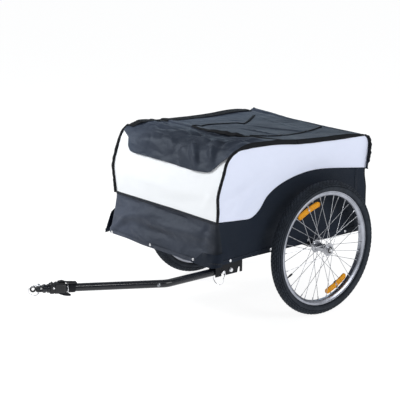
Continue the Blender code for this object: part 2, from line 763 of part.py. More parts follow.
def make_frame(trailer):
    """The base rails, the axle's cross tube, the hoops and the bars between them."""
    middle = RAIL_BOTTOM + RAIL_SIZE / 2
    front = front_y(RAIL_TOP) + CLOTH + 3 * GAP
    rear = REAR_WALL - CLOTH - GAP
    for name, side in (("left", 1), ("right", -1)):
        x = side * RAIL_HALF_SPAN
        rail = add_piece("side_rail_" + name, square_tube((x, front, middle), (x, rear, middle), "Y"),
                         "black_steel", trailer, smooth=False)
        cope = rod(x - RAIL_SIZE, x + RAIL_SIZE, AXLE_TUBE_RADIUS + GAP, 20)
        cut(rail, cope)
    reach = RAIL_HALF_SPAN - RAIL_SIZE / 2 - GAP
    for name, y in (("front_rail", front + RAIL_SIZE / 2), ("rear_rail", rear - RAIL_SIZE / 2)):
        add_piece(name, square_tube((-reach, y, middle), (reach, y, middle), "X"), "black_steel", trailer,
                  smooth=False)
    bore = STUB_AXLE_RADIUS + GAP
    tube = [(-AXLE_TUBE_HALF_LENGTH, bore), (-AXLE_TUBE_HALF_LENGTH, AXLE_TUBE_RADIUS),
            (AXLE_TUBE_HALF_LENGTH, AXLE_TUBE_RADIUS), (AXLE_TUBE_HALF_LENGTH, bore)]
    add_piece("axle_cross_tube", turned(tube, 20), "black_steel", trailer)
    for name, side in (("left", 1), ("right", -1)):
        add_piece("side_hoop_" + name, swept(hoop_line(side), HOOP_RADIUS, HOOP_SIDES), "black_steel", trailer)
    inset = CLOTH + HOOP_CLEARANCE + HOOP_RADIUS
    for name, arc in (("front_top_bar", front_arc(inset)), ("rear_top_bar", rear_arc(inset))):
        seat = arc[ARC_STEPS // 2]
        half = side_x(0, seat.z) - inset - HOOP_RADIUS - 4 * GAP
        add_piece(name, rod(-half, half, BAR_RADIUS, 12, "X", seat), "black_steel", trailer)


def hoop_line(side):
    """The middle line of a side hoop, which stands on its rail and follows the cloth inside."""
    inset = CLOTH + HOOP_CLEARANCE + HOOP_RADIUS
    foot = RAIL_TOP + GAP
    shell = shell_line(inset)
    heights = [foot + share * (FRONT_SEAM - foot) for share in (0.4, 0.7)]
    front_leg = [Vector((0, front_y(height) + inset, height)) for height in heights]
    front_leg.append(shell[0])
    rear_leg = [Vector((0, REAR_WALL - inset, height)) for height in (REAR_SEAM, WAIST_HEIGHT, foot + HOOP_RADIUS)]
    line = front_leg + shell[1:-1] + rear_leg
    line = [Vector((side * (side_x(0, point.z) - inset), point.y, point.z)) for point in line]
    bend = foot + 2 * HOOP_RADIUS
    front_foot = Vector((side * (side_x(0, foot) - inset), front_y(bend) + inset, foot))
    rear_foot = Vector((line[-1].x, line[-1].y, foot))
    return [front_foot, front_foot + Vector((0, 0, HOOP_RADIUS))] + line + [rear_foot]


def make_tub(trailer):
    """The cloth walls and floor."""
    seat = CLOTH + GAP

    def front_lower(u, v, depth):
        z = FRONT_HEM + v * (FRONT_SEAM - GAP / 2 - FRONT_HEM)
        half = side_x(front_y(z), z)
        x = (2 * u - 1) * half
        calm = smooth_step((half - abs(x)) / 0.04) * smooth_step(v * 6) * smooth_step((1 - v) * 6)
        puff = fold_height(FRONT_FOLDS, x, z) * calm
        return Vector((x, front_y(z) - puff + depth, z))

    add_piece("front_lower_panel", sheet(lambda u, v: front_lower(u, v, 0),
                                         lambda u, v: front_lower(u, v, CLOTH), 20, 7), "black_cloth", trailer)

    def between_sides(row, point):
        half = side_x(0, point.z) - CLOTH - 2 * GAP
        return -half, half

    def front_rows(inset):
        wall = front_wall_line(inset)
        wall[0] = wall[0] + Vector((0, 0, GAP / 2))
        return wall + front_arc(inset)[1:]

    add_piece("front_upper_panel", strip(front_rows(0), front_rows(CLOTH), between_sides, 6),
              "white_cloth", trailer)

    def rear_rows(inset):
        arc = rear_arc(inset)
        foot = Vector((0, arc[-1].y, REAR_SEAM + GAP / 2))
        return arc + run_between(arc[-1], foot, 1) + [foot]

    add_piece("rear_upper_panel", strip(rear_rows(0), rear_rows(CLOTH), between_sides, 4),
              "white_cloth", trailer)

    top = front_arc(0) + run_between(front_arc(0)[-1], rear_arc(0)[0], 9) + rear_arc(0)
    wall = front_wall_line(0)
    levels = [(point.z - wall[0].z) / (wall[-1].z - wall[0].z) for point in wall]

    def lean(y, z):
        """How far the side's front end stands ahead of the shoulder's start at a height."""
        fade = smooth_step(1 - (y - top[0].y) / LEAN_LENGTH)
        return (wall_y(0, z) - top[0].y) * fade

    seam_run = [point.y + lean(point.y, FRONT_SEAM) for point in top]
    low_run = [-FRONT_WALL + seat + 2 * GAP]
    low_run += [y for y in seam_run if y - low_run[0] > 2 * seat and REAR_WALL - y > 2 * seat]
    low_run.append(REAR_WALL - seat)

    def side_upper(u, v, side, depth):
        column = round(u * (len(top) - 1))
        point, level = top[column], levels[round(v * (len(levels) - 1))]
        low = side_seam_height(seam_run[column]) + GAP / 2
        z = low + level * (point.z - low)
        y = point.y + lean(point.y, z)
        return Vector((side * (side_x(y, z) - depth), y, z))

    def side_lower(u, v, side, depth):
        along = low_run[round(u * (len(low_run) - 1))]
        z = SIDE_HEM + v * (side_seam_height(along) - GAP / 2 - SIDE_HEM)
        share = (along - low_run[0]) / (low_run[-1] - low_run[0])
        y = along + (front_y(z) - front_y(side_seam_height(along) - GAP / 2)) * (1 - share)
        return Vector((side * (side_x(y, z) - depth), y, z))

    for name, side in (("left", 1), ("right", -1)):
        add_piece(name + "_lower_panel",
                  sheet(lambda u, v: side_lower(u, v, side, 0), lambda u, v: side_lower(u, v, side, CLOTH),
                        len(low_run) - 1, 5), "black_cloth", trailer)
        add_piece(name + "_upper_panel",
                  sheet(lambda u, v: side_upper(u, v, side, 0), lambda u, v: side_upper(u, v, side, CLOTH),
                        len(top) - 1, len(levels) - 1), "white_cloth", trailer)

    def rear_lower(u, v, depth):
        z = REAR_HEM + v * (REAR_SEAM - GAP / 2 - REAR_HEM)
        return Vector(((2 * u - 1) * side_x(0, z), REAR_WALL - depth, z))

    add_piece("rear_lower_panel", sheet(lambda u, v: rear_lower(u, v, 0),
                                        lambda u, v: rear_lower(u, v, CLOTH), 4, 4), "black_cloth", trailer)
    inset = CLOTH + HOOP_CLEARANCE + 2 * HOOP_RADIUS + GAP
    half = side_x(0, RAIL_TOP) - inset
    add_piece("floor_panel", block((-half, front_y(RAIL_TOP) + inset, RAIL_TOP + GAP),
                                   (half, REAR_WALL - inset, RAIL_TOP + GAP + CLOTH)),
              "black_cloth", trailer, smooth=False)


def make_cover(trailer):
    """The black cover: a taut rear half, a loose front half that folds back, and two drops."""
    full = side_x(0, top_height(COVER_FOLD))

    def whole(row, point):
        return -full, full

    def across_share(x):
        return max(0.0, 1 - (x / full) ** 2)

    def rear_run(inset):
        end = rear_arc(inset)[0]
        start = Vector((0, COVER_FOLD + GAP, top_height(COVER_FOLD + GAP) - inset))
        return [start] + run_between(start, end, 7) + [end]

    def sag(x, row, point):
        return Vector((0, 0, -COVER_SAG * across_share(x) * math.sin(math.pi * row / 8)))

    rear = strip(rear_run(-GAP - CLOTH), rear_run(-GAP), whole, 12, sag)
    add_piece("cover_rear", rear, "black_cloth", trailer)

    def drop_run(inset):
        arc = rear_arc(inset)
        hem = Vector((0, arc[-1].y, REAR_DROP_HEM))
        return arc + run_between(arc[-1], hem, 4) + [hem]

    rows = len(drop_run(0)) - 1

    def puff(x, row, point):
        turn = max(0.0, 1 - row / ARC_STEPS) * math.pi / 2
        amount = REAR_DROP_BULGE * math.sin(math.pi * row / rows) ** 1.5 * (0.82 + 0.18 * math.cos(x * 34))
        return Vector((0, amount * math.cos(turn), amount * math.sin(turn)))

    start_gap = Vector((0, GAP, 0))

    def shifted(line):
        return [line[0] + start_gap] + line[1:]

    drop = strip(shifted(drop_run(-GAP - CLOTH)), shifted(drop_run(-GAP)), whole, 14, puff)
    add_piece("cover_rear_drop", drop, "black_cloth", trailer)

    hinge = Vector((0, COVER_FOLD, top_height(COVER_FOLD) + GAP + CLOTH + COVER_HINGE_LIFT))
    cover = add_empty("cover_axis", trailer, hinge)

    def front_run(inset):
        arc = front_arc(inset)[APRON_STEPS:]
        end = Vector((0, COVER_FOLD - GAP, top_height(COVER_FOLD - GAP) - inset))
        return arc + run_between(arc[-1], end, 11) + [end]

    count = len(front_run(0)) - 1

    def slack(x, row, point):
        share = row / count
        loose = across_share(x) ** 0.5 * smooth_step(share * 5) * smooth_step((1 - share) * 7)
        rise = fold_height(COVER_FOLDS, x, point.y) + COVER_SLACK * (1 - across_share(x))
        return Vector((0, 0, rise * loose)) - hinge

    front = strip(front_run(-GAP - CLOTH), front_run(-GAP), whole, 18, slack)
    add_piece("cover_front", front, "black_cloth", cover)

    edge = front_arc(-GAP - CLOTH)[APRON_STEPS]
    axis = add_empty("cover_drop_axis", cover, edge - hinge)
    along = (front_arc(0)[APRON_STEPS] - front_arc(0)[APRON_STEPS - 1]).normalized()

    def apron_run(inset):
        arc = front_arc(inset)[:APRON_STEPS + 1]
        arc[-1] = arc[-1] - along * 2 * GAP
        return [Vector((0, wall_y(inset, APRON_HEM), APRON_HEM))] + arc

    def apron_width(row, point):
        share = row / (APRON_STEPS + 1)
        return -APRON_HALF_WIDTH - 0.02 * share, APRON_HALF_WIDTH + (full - APRON_HALF_WIDTH) * share

    apron = strip(apron_run(-GAP - CLOTH), apron_run(-GAP), apron_width, 8, lambda x, row, point: -edge)
    add_piece("cover_front_drop", apron, "black_cloth", axis)


def slot_outline(direction):
    """The outline of a lock slot in a bracket wall: it lets the pin swing in and out from below."""
    hole = LOCK_PIN_RADIUS + 2 * GAP
    bottom = RAIL_BOTTOM - GAP - BRACKET_HEIGHT - 0.005 - ARM_HEIGHT
    depth = math.asin(min(0.9, -bottom / LOCK_RADIUS))
    outline = [(direction * LOCK_RADIUS + hole * math.cos(math.radians(a)), hole * math.sin(math.radians(a)))
               for a in range(0, 181, 30)]
    inward = LOCK_RADIUS * (1 - math.cos(depth)) + GAP
    left = direction * LOCK_RADIUS - hole - (inward if direction > 0 else 0)
    right = direction * LOCK_RADIUS + hole + (inward if direction < 0 else 0)
    return outline + [(left, bottom), (right, bottom)]


def prism_x(outline, low, high, centre_y, centre_z):
    """A prism along X from an outline of (y, z) points."""
    mesh = bmesh.new()
    layers = []
    for x in (low, high):
        layers.append([mesh.verts.new((x, centre_y + y, centre_z + z)) for y, z in outline])
    count = len(outline)
    for k in range(count):
        n = (k + 1) % count
        mesh.faces.new([layers[0][k], layers[0][n], layers[1][n], layers[1][k]])
    mesh.faces.new(layers[0])
    mesh.faces.new(list(reversed(layers[1])))
    return mesh


def make_bracket(trailer):
    """The channel under the left rail, with the pivot bolt and nut."""
    top = RAIL_BOTTOM - GAP
    bottom = top - BRACKET_HEIGHT
    inner = BRACKET_INNER_WIDTH / 2
    outer = inner + BRACKET_WALL
    bracket = add_piece("tow_bracket", block((ARM_OFFSET - outer, -BRACKET_FRONT, bottom),
                                             (ARM_OFFSET + outer, -BRACKET_REAR, top)),
                        "black_steel", trailer, smooth=False)
    cut(bracket, block((ARM_OFFSET - inner, -BRACKET_FRONT - 0.01, bottom - 0.01),
                       (ARM_OFFSET + inner, -BRACKET_REAR + 0.01, top - BRACKET_WALL)))
    low, high = ARM_OFFSET - outer - 0.01, ARM_OFFSET + outer + 0.01
    for direction in (-1, 1):
        cut(bracket, prism_x(slot_outline(direction), low, high, PIVOT_Y, ARM_HEIGHT))
    cut(bracket, rod(low, high, PIVOT_BOLT_RADIUS + GAP, 16, "X", (0, PIVOT_Y, ARM_HEIGHT)))
    face = ARM_OFFSET + outer + GAP
    end = ARM_OFFSET - outer - GAP - NUT_THICKNESS - 0.002
    crown = face + PIVOT_HEAD_THICKNESS
    profile = [(end, 0), (end, PIVOT_BOLT_RADIUS), (face, PIVOT_BOLT_RADIUS), (face, PIVOT_HEAD_RADIUS),
               (crown - 0.002, PIVOT_HEAD_RADIUS), (crown, PIVOT_HEAD_RADIUS - 0.003), (crown, 0)]
    seat = (0, PIVOT_Y, ARM_HEIGHT)
    add_piece("pivot_bolt", turned(profile, 16, "X", seat), "zinc_steel", trailer)
    low = ARM_OFFSET - outer - GAP - NUT_THICKNESS
    bore = (PIVOT_BOLT_RADIUS + GAP) / math.cos(math.radians(30))
    nut = [(low, bore), (low, PIVOT_HEAD_RADIUS), (low + NUT_THICKNESS, PIVOT_HEAD_RADIUS),
           (low + NUT_THICKNESS, bore)]
    add_piece("pivot_nut", turned(nut, 6, "X", seat), "zinc_steel", trailer, smooth=False)


def arm_point(setback, across=0.0):
    """A point on the arm's front run, measured backwards from the eye."""
    along = Vector((math.sin(ARM_ANGLE) * math.cos(ARM_RISE), math.cos(ARM_ANGLE) * math.cos(ARM_RISE),
                    -math.sin(ARM_RISE)))
    aside = Vector((math.cos(ARM_ANGLE), -math.sin(ARM_ANGLE), 0))
    return Vector((EYE_X, EYE_Y, EYE_HEIGHT)) + along * setback + aside * across


def make_tow_arm(trailer):
    """The bent arm, its bolt, the lock pin and the bail. The arm folds about the pivot bolt."""
    pivot = Vector((ARM_OFFSET, PIVOT_Y, ARM_HEIGHT))
    fold = add_empty("arm_axis", trailer, pivot)
    tail = Vector((ARM_OFFSET, PIVOT_Y + ARM_TAIL, ARM_HEIGHT))
    bend = Vector((ARM_OFFSET, ARM_BEND_Y, ARM_HEIGHT))
    tip = arm_point(COUPLER_REAR - SOCKET_DEPTH + GAP)
    line = [point - pivot for point in rounded([tail, bend, tip], [ARM_BEND_RADIUS], [6])]
    arm = add_piece("tow_arm", swept(line, ARM_RADIUS, ARM_SIDES, ARM_RADIUS - ARM_WALL), "black_steel", fold)
    reach = ARM_RADIUS + 0.01
    cut(arm, rod(-reach, reach, PIVOT_BOLT_RADIUS + GAP, 16))
    cut(arm, rod(-reach, reach, LOCK_PIN_RADIUS + GAP, 16, "X", (0, -LOCK_RADIUS, 0)))
    bend_setback = (bend - arm_point(0)).length
    place = bend_setback - ARM_BOLT_SETBACK - ARM_BEND_RADIUS * math.tan(ARM_ANGLE / 2)
    bolt = [arm_point(place, ARM_RADIUS + GAP) - pivot, arm_point(place, ARM_RADIUS + GAP + ARM_BOLT_HEIGHT) - pivot]
    add_piece("arm_bolt", swept(bolt, ARM_BOLT_RADIUS, 12), "zinc_steel", fold)
    outer = BRACKET_INNER_WIDTH / 2 + BRACKET_WALL
    head = outer + 2 * GAP
    far = -outer - LOCK_PIN_TIP
    crown = head + LOCK_HEAD_THICKNESS
    profile = [(far, 0), (far, LOCK_PIN_RADIUS - 0.0015), (far + 0.002, LOCK_PIN_RADIUS),
               (head, LOCK_PIN_RADIUS), (head, LOCK_HEAD_RADIUS), (crown - 0.0015, LOCK_HEAD_RADIUS),
               (crown, LOCK_HEAD_RADIUS - 0.0015), (crown, 0)]
    pin = add_piece("lock_pin", turned(profile, 16, "X", (0, -LOCK_RADIUS, 0)), "zinc_steel", fold)
    knuckle = head + LOCK_HEAD_THICKNESS / 2
    eye = (knuckle, 0, 0)
    cut(pin, rod(-LOCK_RADIUS - 0.02, -LOCK_RADIUS + 0.02, BAIL_WIRE_RADIUS + GAP, 8, "Y", eye))
    swing = add_empty("lock_bail_axis", fold, (knuckle, -LOCK_RADIUS, 0))
    leg = LOCK_HEAD_RADIUS + GAP + BAIL_WIRE_RADIUS + 0.001
    far_leg = far - knuckle + LOCK_PIN_TIP / 2
    under = LOCK_PIN_RADIUS + GAP + BAIL_WIRE_RADIUS
    corners = [(0, -LOCK_HEAD_RADIUS, 0), (0, leg, 0), (0.001, leg, -0.014),
               (-0.008, leg, -LOCK_BAIL_DROP), (far_leg + 0.010, leg, -LOCK_BAIL_DROP),
               (far_leg, leg, -0.012), (far_leg, 0.002, -under - 0.0005)]
    wire = rounded(corners, [0.0015, 0.004, 0.012, 0.012, 0.004], [3] * 5)
    add_piece("lock_pin_bail", swept(wire, BAIL_WIRE_RADIUS, 6), "zinc_steel", swing)
    return fold, pivot


def make_coupler(fold, pivot):
    """The coupler on the arm's end: body, strap, ring, swivelling fork, hitch pin and eye plate."""
    nose = add_empty("coupler_seat", fold, arm_point(0) - pivot, (-ARM_RISE, 0, -ARM_ANGLE))
    half_width, half_height = COUPLER_WIDTH / 2, COUPLER_HEIGHT / 2
    front = SWIVEL_REAR + GAP
    body = add_piece("coupler_body", block((-half_width, front, -half_height),
                                           (half_width, COUPLER_REAR, half_height)),
                     "black_plastic", nose, smooth=False)
    cut(body, block((-half_width + 0.004, COUPLER_RIDGE_FRONT, 0),
                    (half_width - 0.004, COUPLER_REAR - 0.004, half_height + COUPLER_RIDGE_HEIGHT)), "UNION")
    cut(body, block((-half_width + 0.006, front + 0.006, 0),
                    (half_width - 0.006, front + 0.011, half_height + COUPLER_RIDGE_HEIGHT)), "UNION")
    cut(body, rod(front - 0.01, COUPLER_REAR - SOCKET_DEPTH + 0.01, SWIVEL_SHANK_RADIUS + RUNNING_GAP, 16, "Y"))
    cut(body, rod(COUPLER_REAR - SOCKET_DEPTH, COUPLER_REAR + 0.01, ARM_RADIUS + GAP, 20, "Y"))

    inner = ARM_RADIUS + GAP
    outer = inner + STRAP_THICKNESS
    rear = STRAP_FRONT + STRAP_WIDTH
    loop = [(STRAP_FRONT, inner), (STRAP_FRONT, outer), (rear, outer), (rear, inner)]
    strap = add_piece("safety_strap", turned(loop, 20, "Y"), "webbing", nose)
    cut(strap, block((-0.009, STRAP_FRONT - 0.002, outer - 0.0012),
                     (0.009, rear + 0.006, outer + STRAP_BUCKLE)), "UNION")
    cut(strap, block((-0.007, STRAP_FRONT + 0.001, -outer - STRAP_BUCKLE),
                     (0.007, rear - 0.006, -outer + 0.0012)), "UNION")
    ring_drop = RING_RADIUS - RING_WIRE_RADIUS - ARM_RADIUS - GAP
    ring = [(RING_SETBACK + RING_WIRE_RADIUS * math.cos(math.radians(60 * k)),
             RING_RADIUS + RING_WIRE_RADIUS * math.sin(math.radians(60 * k))) for k in range(6)]
    add_piece("strap_ring", turned(ring, 20, "Y", (0, 0, -ring_drop)), "zinc_steel", nose)

    swivel = add_empty("swivel_axis", nose)
    gap_half = TONGUE_THICKNESS / 2 + GAP
    fork_half = gap_half + FORK_ARM_THICKNESS
    shank_end = COUPLER_REAR - SOCKET_DEPTH - 2 * GAP
    groove = (SWIVEL_FRONT + SWIVEL_REAR) / 2
    profile = [(FORK_ROOT, 0), (FORK_ROOT, fork_half), (SWIVEL_FRONT, SWIVEL_RADIUS),
               (groove - 0.003, SWIVEL_RADIUS), (groove - 0.002, SWIVEL_GROOVE_RADIUS),
               (groove + 0.002, SWIVEL_GROOVE_RADIUS), (groove + 0.003, SWIVEL_RADIUS),
               (SWIVEL_REAR, SWIVEL_RADIUS), (SWIVEL_REAR, SWIVEL_SHANK_RADIUS),
               (shank_end, SWIVEL_SHANK_RADIUS), (shank_end, 0)]
    fork = add_piece("swivel_fork", turned(profile, 16, "Y"), "black_steel", swivel)
    half = FORK_WIDTH / 2
    for low in (gap_half, -fork_half):
        high = low + FORK_ARM_THICKNESS
        cut(fork, block((-half, HITCH_PIN_SETBACK, low), (half, FORK_ROOT + 0.002, high)), "UNION")
        cut(fork, rod(low, high, half, 16, "Z", (0, HITCH_PIN_SETBACK, 0)), "UNION")
    seat = (0, HITCH_PIN_SETBACK, 0)
    cut(fork, rod(-0.02, 0.02, HITCH_PIN_RADIUS + GAP, 16, "Z", seat))

    yaw = add_empty("eye_axis", swivel, seat)
    head_low = fork_half + GAP
    head_high = head_low + HITCH_HEAD_HEIGHT
    profile = [(-HITCH_PIN_TIP, 0), (-HITCH_PIN_TIP, HITCH_PIN_RADIUS - 0.001),
               (-HITCH_PIN_TIP + 0.0015, HITCH_PIN_RADIUS), (head_low, HITCH_PIN_RADIUS),
               (head_low, HITCH_HEAD_RADIUS), (head_high - 0.001, HITCH_HEAD_RADIUS),
               (head_high, HITCH_HEAD_RADIUS - 0.001), (head_high, 0)]
    pin = add_piece("hitch_pin", turned(profile, 16, "Z"), "zinc_steel", yaw)
    knuckle = head_low + HITCH_HEAD_HEIGHT / 2
    cut(pin, rod(-0.02, 0.02, BAIL_WIRE_RADIUS + GAP, 8, "X", (0, 0, knuckle)))
    flip = add_empty("hitch_bail_axis", yaw, (0, 0, knuckle))
    leg = half + GAP + BAIL_WIRE_RADIUS + 0.0003
    low = -HITCH_BAIL_DROP - knuckle
    tip = -(fork_half + HITCH_PIN_TIP) / 2 - knuckle
    corners = [(-HITCH_HEAD_RADIUS + 0.001, 0, 0), (leg, 0, 0), (leg, -0.020, 0.001),
               (leg, -HITCH_BAIL_REACH, -0.4 * HITCH_BAIL_DROP), (leg, -HITCH_BAIL_REACH + 0.004, low * 0.75),
               (leg, -0.012, low), (leg, 0, tip), (HITCH_PIN_RADIUS + 3 * GAP, 0, tip)]
    wire = rounded(corners, [0.0015, 0.010, 0.012, 0.012, 0.008, 0.0015], [3] * 6)
    add_piece("hitch_pin_bail", swept(wire, BAIL_WIRE_RADIUS, 6), "zinc_steel", flip)

    back = -HITCH_PIN_SETBACK
    half_eye = EYE_THICKNESS / 2
    half_tongue = TONGUE_THICKNESS / 2
    plate = add_piece("eye_plate", rod(-half_eye, half_eye, EYE_RADIUS, 24, "X", (0, back, 0)), "black_steel", yaw)
    cut(plate, block((-0.7 * half_eye, back + 0.8 * EYE_RADIUS, -0.8 * half_tongue),
                     (0.7 * half_eye, -0.6 * TONGUE_RADIUS, 0.8 * half_tongue)), "UNION")
    cut(plate, rod(-half_tongue, half_tongue, TONGUE_RADIUS, 16, "Z"), "UNION")
    cut(plate, rod(-0.01, 0.01, HITCH_PIN_RADIUS + RUNNING_GAP, 16, "Z"))
    cut(plate, rod(-0.01, 0.01, EYE_HOLE_RADIUS, 20, "X", (0, back, 0)))


def centre_lengthwise(trailer):
    """Move the whole trailer so that the middle of its length is over the origin."""
    bpy.context.view_layer.update()
    reaches = []
    for piece in bpy.data.objects:
        if piece.type == "MESH" and not piece.hide_render:
            reaches += [(piece.matrix_world @ vert.co).y for vert in piece.data.vertices]
    trailer.location.y -= (min(reaches) + max(reaches)) / 2


def main():
    for old in list(bpy.data.objects):
        bpy.data.objects.remove(old)
    trailer = add_empty("trailer", None, (0, 0, AXLE_HEIGHT))
    make_wheel(trailer, "left", 1)
    make_wheel(trailer, "right", -1)
    make_frame(trailer)
    make_tub(trailer)
    make_cover(trailer)
    make_bracket(trailer)
    fold, pivot = make_tow_arm(trailer)
    make_coupler(fold, pivot)
    centre_lengthwise(trailer)
    bpy.context.view_layer.update()


main()
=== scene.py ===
"""The looks of a bike cargo trailer: cloth, bindings, wheels, tow arm, floor, lights and camera.

Points are measured from the middle of the axle line until a piece is made: +X is the trailer's left
side, +Y is backwards and +Z is up. Sizes are in metres.
"""
import math

import bmesh
import bpy
from mathutils import Euler, Matrix, Vector, noise


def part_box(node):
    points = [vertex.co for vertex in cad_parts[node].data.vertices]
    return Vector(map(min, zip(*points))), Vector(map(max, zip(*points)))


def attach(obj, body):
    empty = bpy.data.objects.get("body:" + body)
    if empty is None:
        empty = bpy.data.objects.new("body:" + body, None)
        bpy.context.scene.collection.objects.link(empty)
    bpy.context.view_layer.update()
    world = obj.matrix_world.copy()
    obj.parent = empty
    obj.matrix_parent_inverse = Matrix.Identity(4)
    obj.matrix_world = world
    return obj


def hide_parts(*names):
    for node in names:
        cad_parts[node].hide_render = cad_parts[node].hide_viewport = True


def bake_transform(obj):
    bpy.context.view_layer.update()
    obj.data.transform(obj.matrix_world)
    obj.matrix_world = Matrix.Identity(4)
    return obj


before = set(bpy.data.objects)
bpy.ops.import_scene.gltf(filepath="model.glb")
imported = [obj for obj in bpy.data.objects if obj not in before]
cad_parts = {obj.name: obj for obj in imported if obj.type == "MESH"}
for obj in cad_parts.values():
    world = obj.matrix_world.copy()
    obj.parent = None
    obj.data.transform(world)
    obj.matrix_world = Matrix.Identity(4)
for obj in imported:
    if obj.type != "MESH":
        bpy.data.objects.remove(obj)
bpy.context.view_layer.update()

# Where the axle's middle is
rim_low, rim_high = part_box("rim_left")
AXLE = Vector((0, (rim_low[1] + rim_high[1]) / 2, (rim_low[2] + rim_high[2]) / 2))
HALF_TRACK = (rim_low[0] + rim_high[0]) / 2

SIDES = (("left", 1), ("right", -1))

# Wheel
TYRE_RADIUS = 0.248
TYRE_WIDTH = 0.045
TYRE_WALL = 0.0035
TREAD_BLOCKS = 88
TREAD_DEPTH = 0.003
RIM_RADIUS = 0.211
RIM_WIDTH = 0.0264
RIM_FLANGE_HEIGHT = 0.0061
RIM_FLANGE_THICKNESS = 0.0014
RIM_DEPTH = 0.0155
RIM_CROWN_WIDTH = 0.017
SPOKES_PER_FLANGE = 18
SPOKE_RADIUS = 0.001
SPOKE_LACING_ANGLE = math.radians(60)
SPOKE_STAGGER = 0.0013
SPOKE_RIM_OFFSET = 0.003
SPOKE_TURN = math.radians(-3.7)
HUB_LENGTH = 0.079
HUB_BARREL_RADIUS = 0.0145
HUB_FLANGE_RADIUS = 0.0236
HUB_FLANGE_SPACING = 0.0635
HUB_FLANGE_THICKNESS = 0.0034
HUB_NOSE_RADIUS = 0.0136
SPOKE_CIRCLE_RADIUS = 0.0205
BEARING_RADIUS = 0.011
STUB_AXLE_RADIUS = 0.006
BUTTON_STAND_OFF = 0.0038
REFLECTOR_LENGTH = 0.112
REFLECTOR_HEIGHT = 0.022
REFLECTOR_THICKNESS = 0.0056
REFLECTOR_RADIUS = 0.17
REFLECTOR_SAG = 0.5
REFLECTOR_ANGLE = math.radians(116)
REFLECTOR_TILT = math.radians(5)
VALVE_LENGTH = 0.03
VALVE_ANGLE = math.radians(205)

# Tub outline
CLOTH = 0.0025
GAP = 0.0003
SHEET = 0.0012
FRONT_WALL = 0.449
FRONT_BULGE = 0.013
BULGE_HEIGHT = 0.262
BULGE_RADIUS = 0.12
SHOULDER_SET_BACK = 0.044
FRONT_HEM_FLARE = 0.035
REAR_WALL = 0.271
TOP_AT_FRONT = 0.403
TOP_AT_REAR = 0.3735
FRONT_SHOULDER = 0.075
REAR_SHOULDER = 0.036
WAIST_HALF_WIDTH = 0.289
WAIST_HEIGHT = 0.15
TOP_FLARE = 0.013
HEM_FLARE = 0.004
CORNER_FLARE = 0.018
CORNER_FLARE_LENGTH = 0.2
LEAN_LENGTH = 0.15
FRONT_HEM = 0.006
SIDE_HEM = 0.012
REAR_HEM = 0.006
FRONT_SEAM = 0.16
REAR_SEAM = 0.248
SIDE_SEAM = ((-FRONT_WALL, FRONT_SEAM), (-0.345, 0.151), (-0.3, 0.151), (-0.262, 0.174),
             (-0.225, 0.2185), (-0.16, 0.2535), (-0.06, 0.276), (0.04, 0.278), (REAR_WALL, REAR_SEAM))
COVER_FOLD = -0.1
APRON_HEM = 0.32
REAR_DROP_HEM = 0.256
REAR_DROP_BULGE = 0.01
COVER_SAG = 0.007
BULGE_STEPS = 8
SHOULDER_STEPS = 20
REAR_STEPS = 14

# Tow side
ARM_OFFSET = 0.268
ARM_HEIGHT = -0.0215
PIVOT_Y = -0.39
LOCK_RADIUS = 0.039
ARM_RADIUS = 0.0135
ARM_TAIL = 0.015
ARM_BEND_Y = -0.665
ARM_BEND_RADIUS = 0.07
EYE_X = 0.1
EYE_Y = -1.0975
EYE_HEIGHT = 0.005
ARM_ANGLE = math.atan2(ARM_OFFSET - EYE_X, ARM_BEND_Y - EYE_Y)
ARM_RISE = math.atan2(EYE_HEIGHT - ARM_HEIGHT, math.hypot(ARM_OFFSET - EYE_X, ARM_BEND_Y - EYE_Y))
BRACKET_WALL = 0.003
BRACKET_INNER_WIDTH = 0.03
BRACKET_BEVEL = 0.0007


# Shapes

SMALLEST_RADIUS = 1e-5


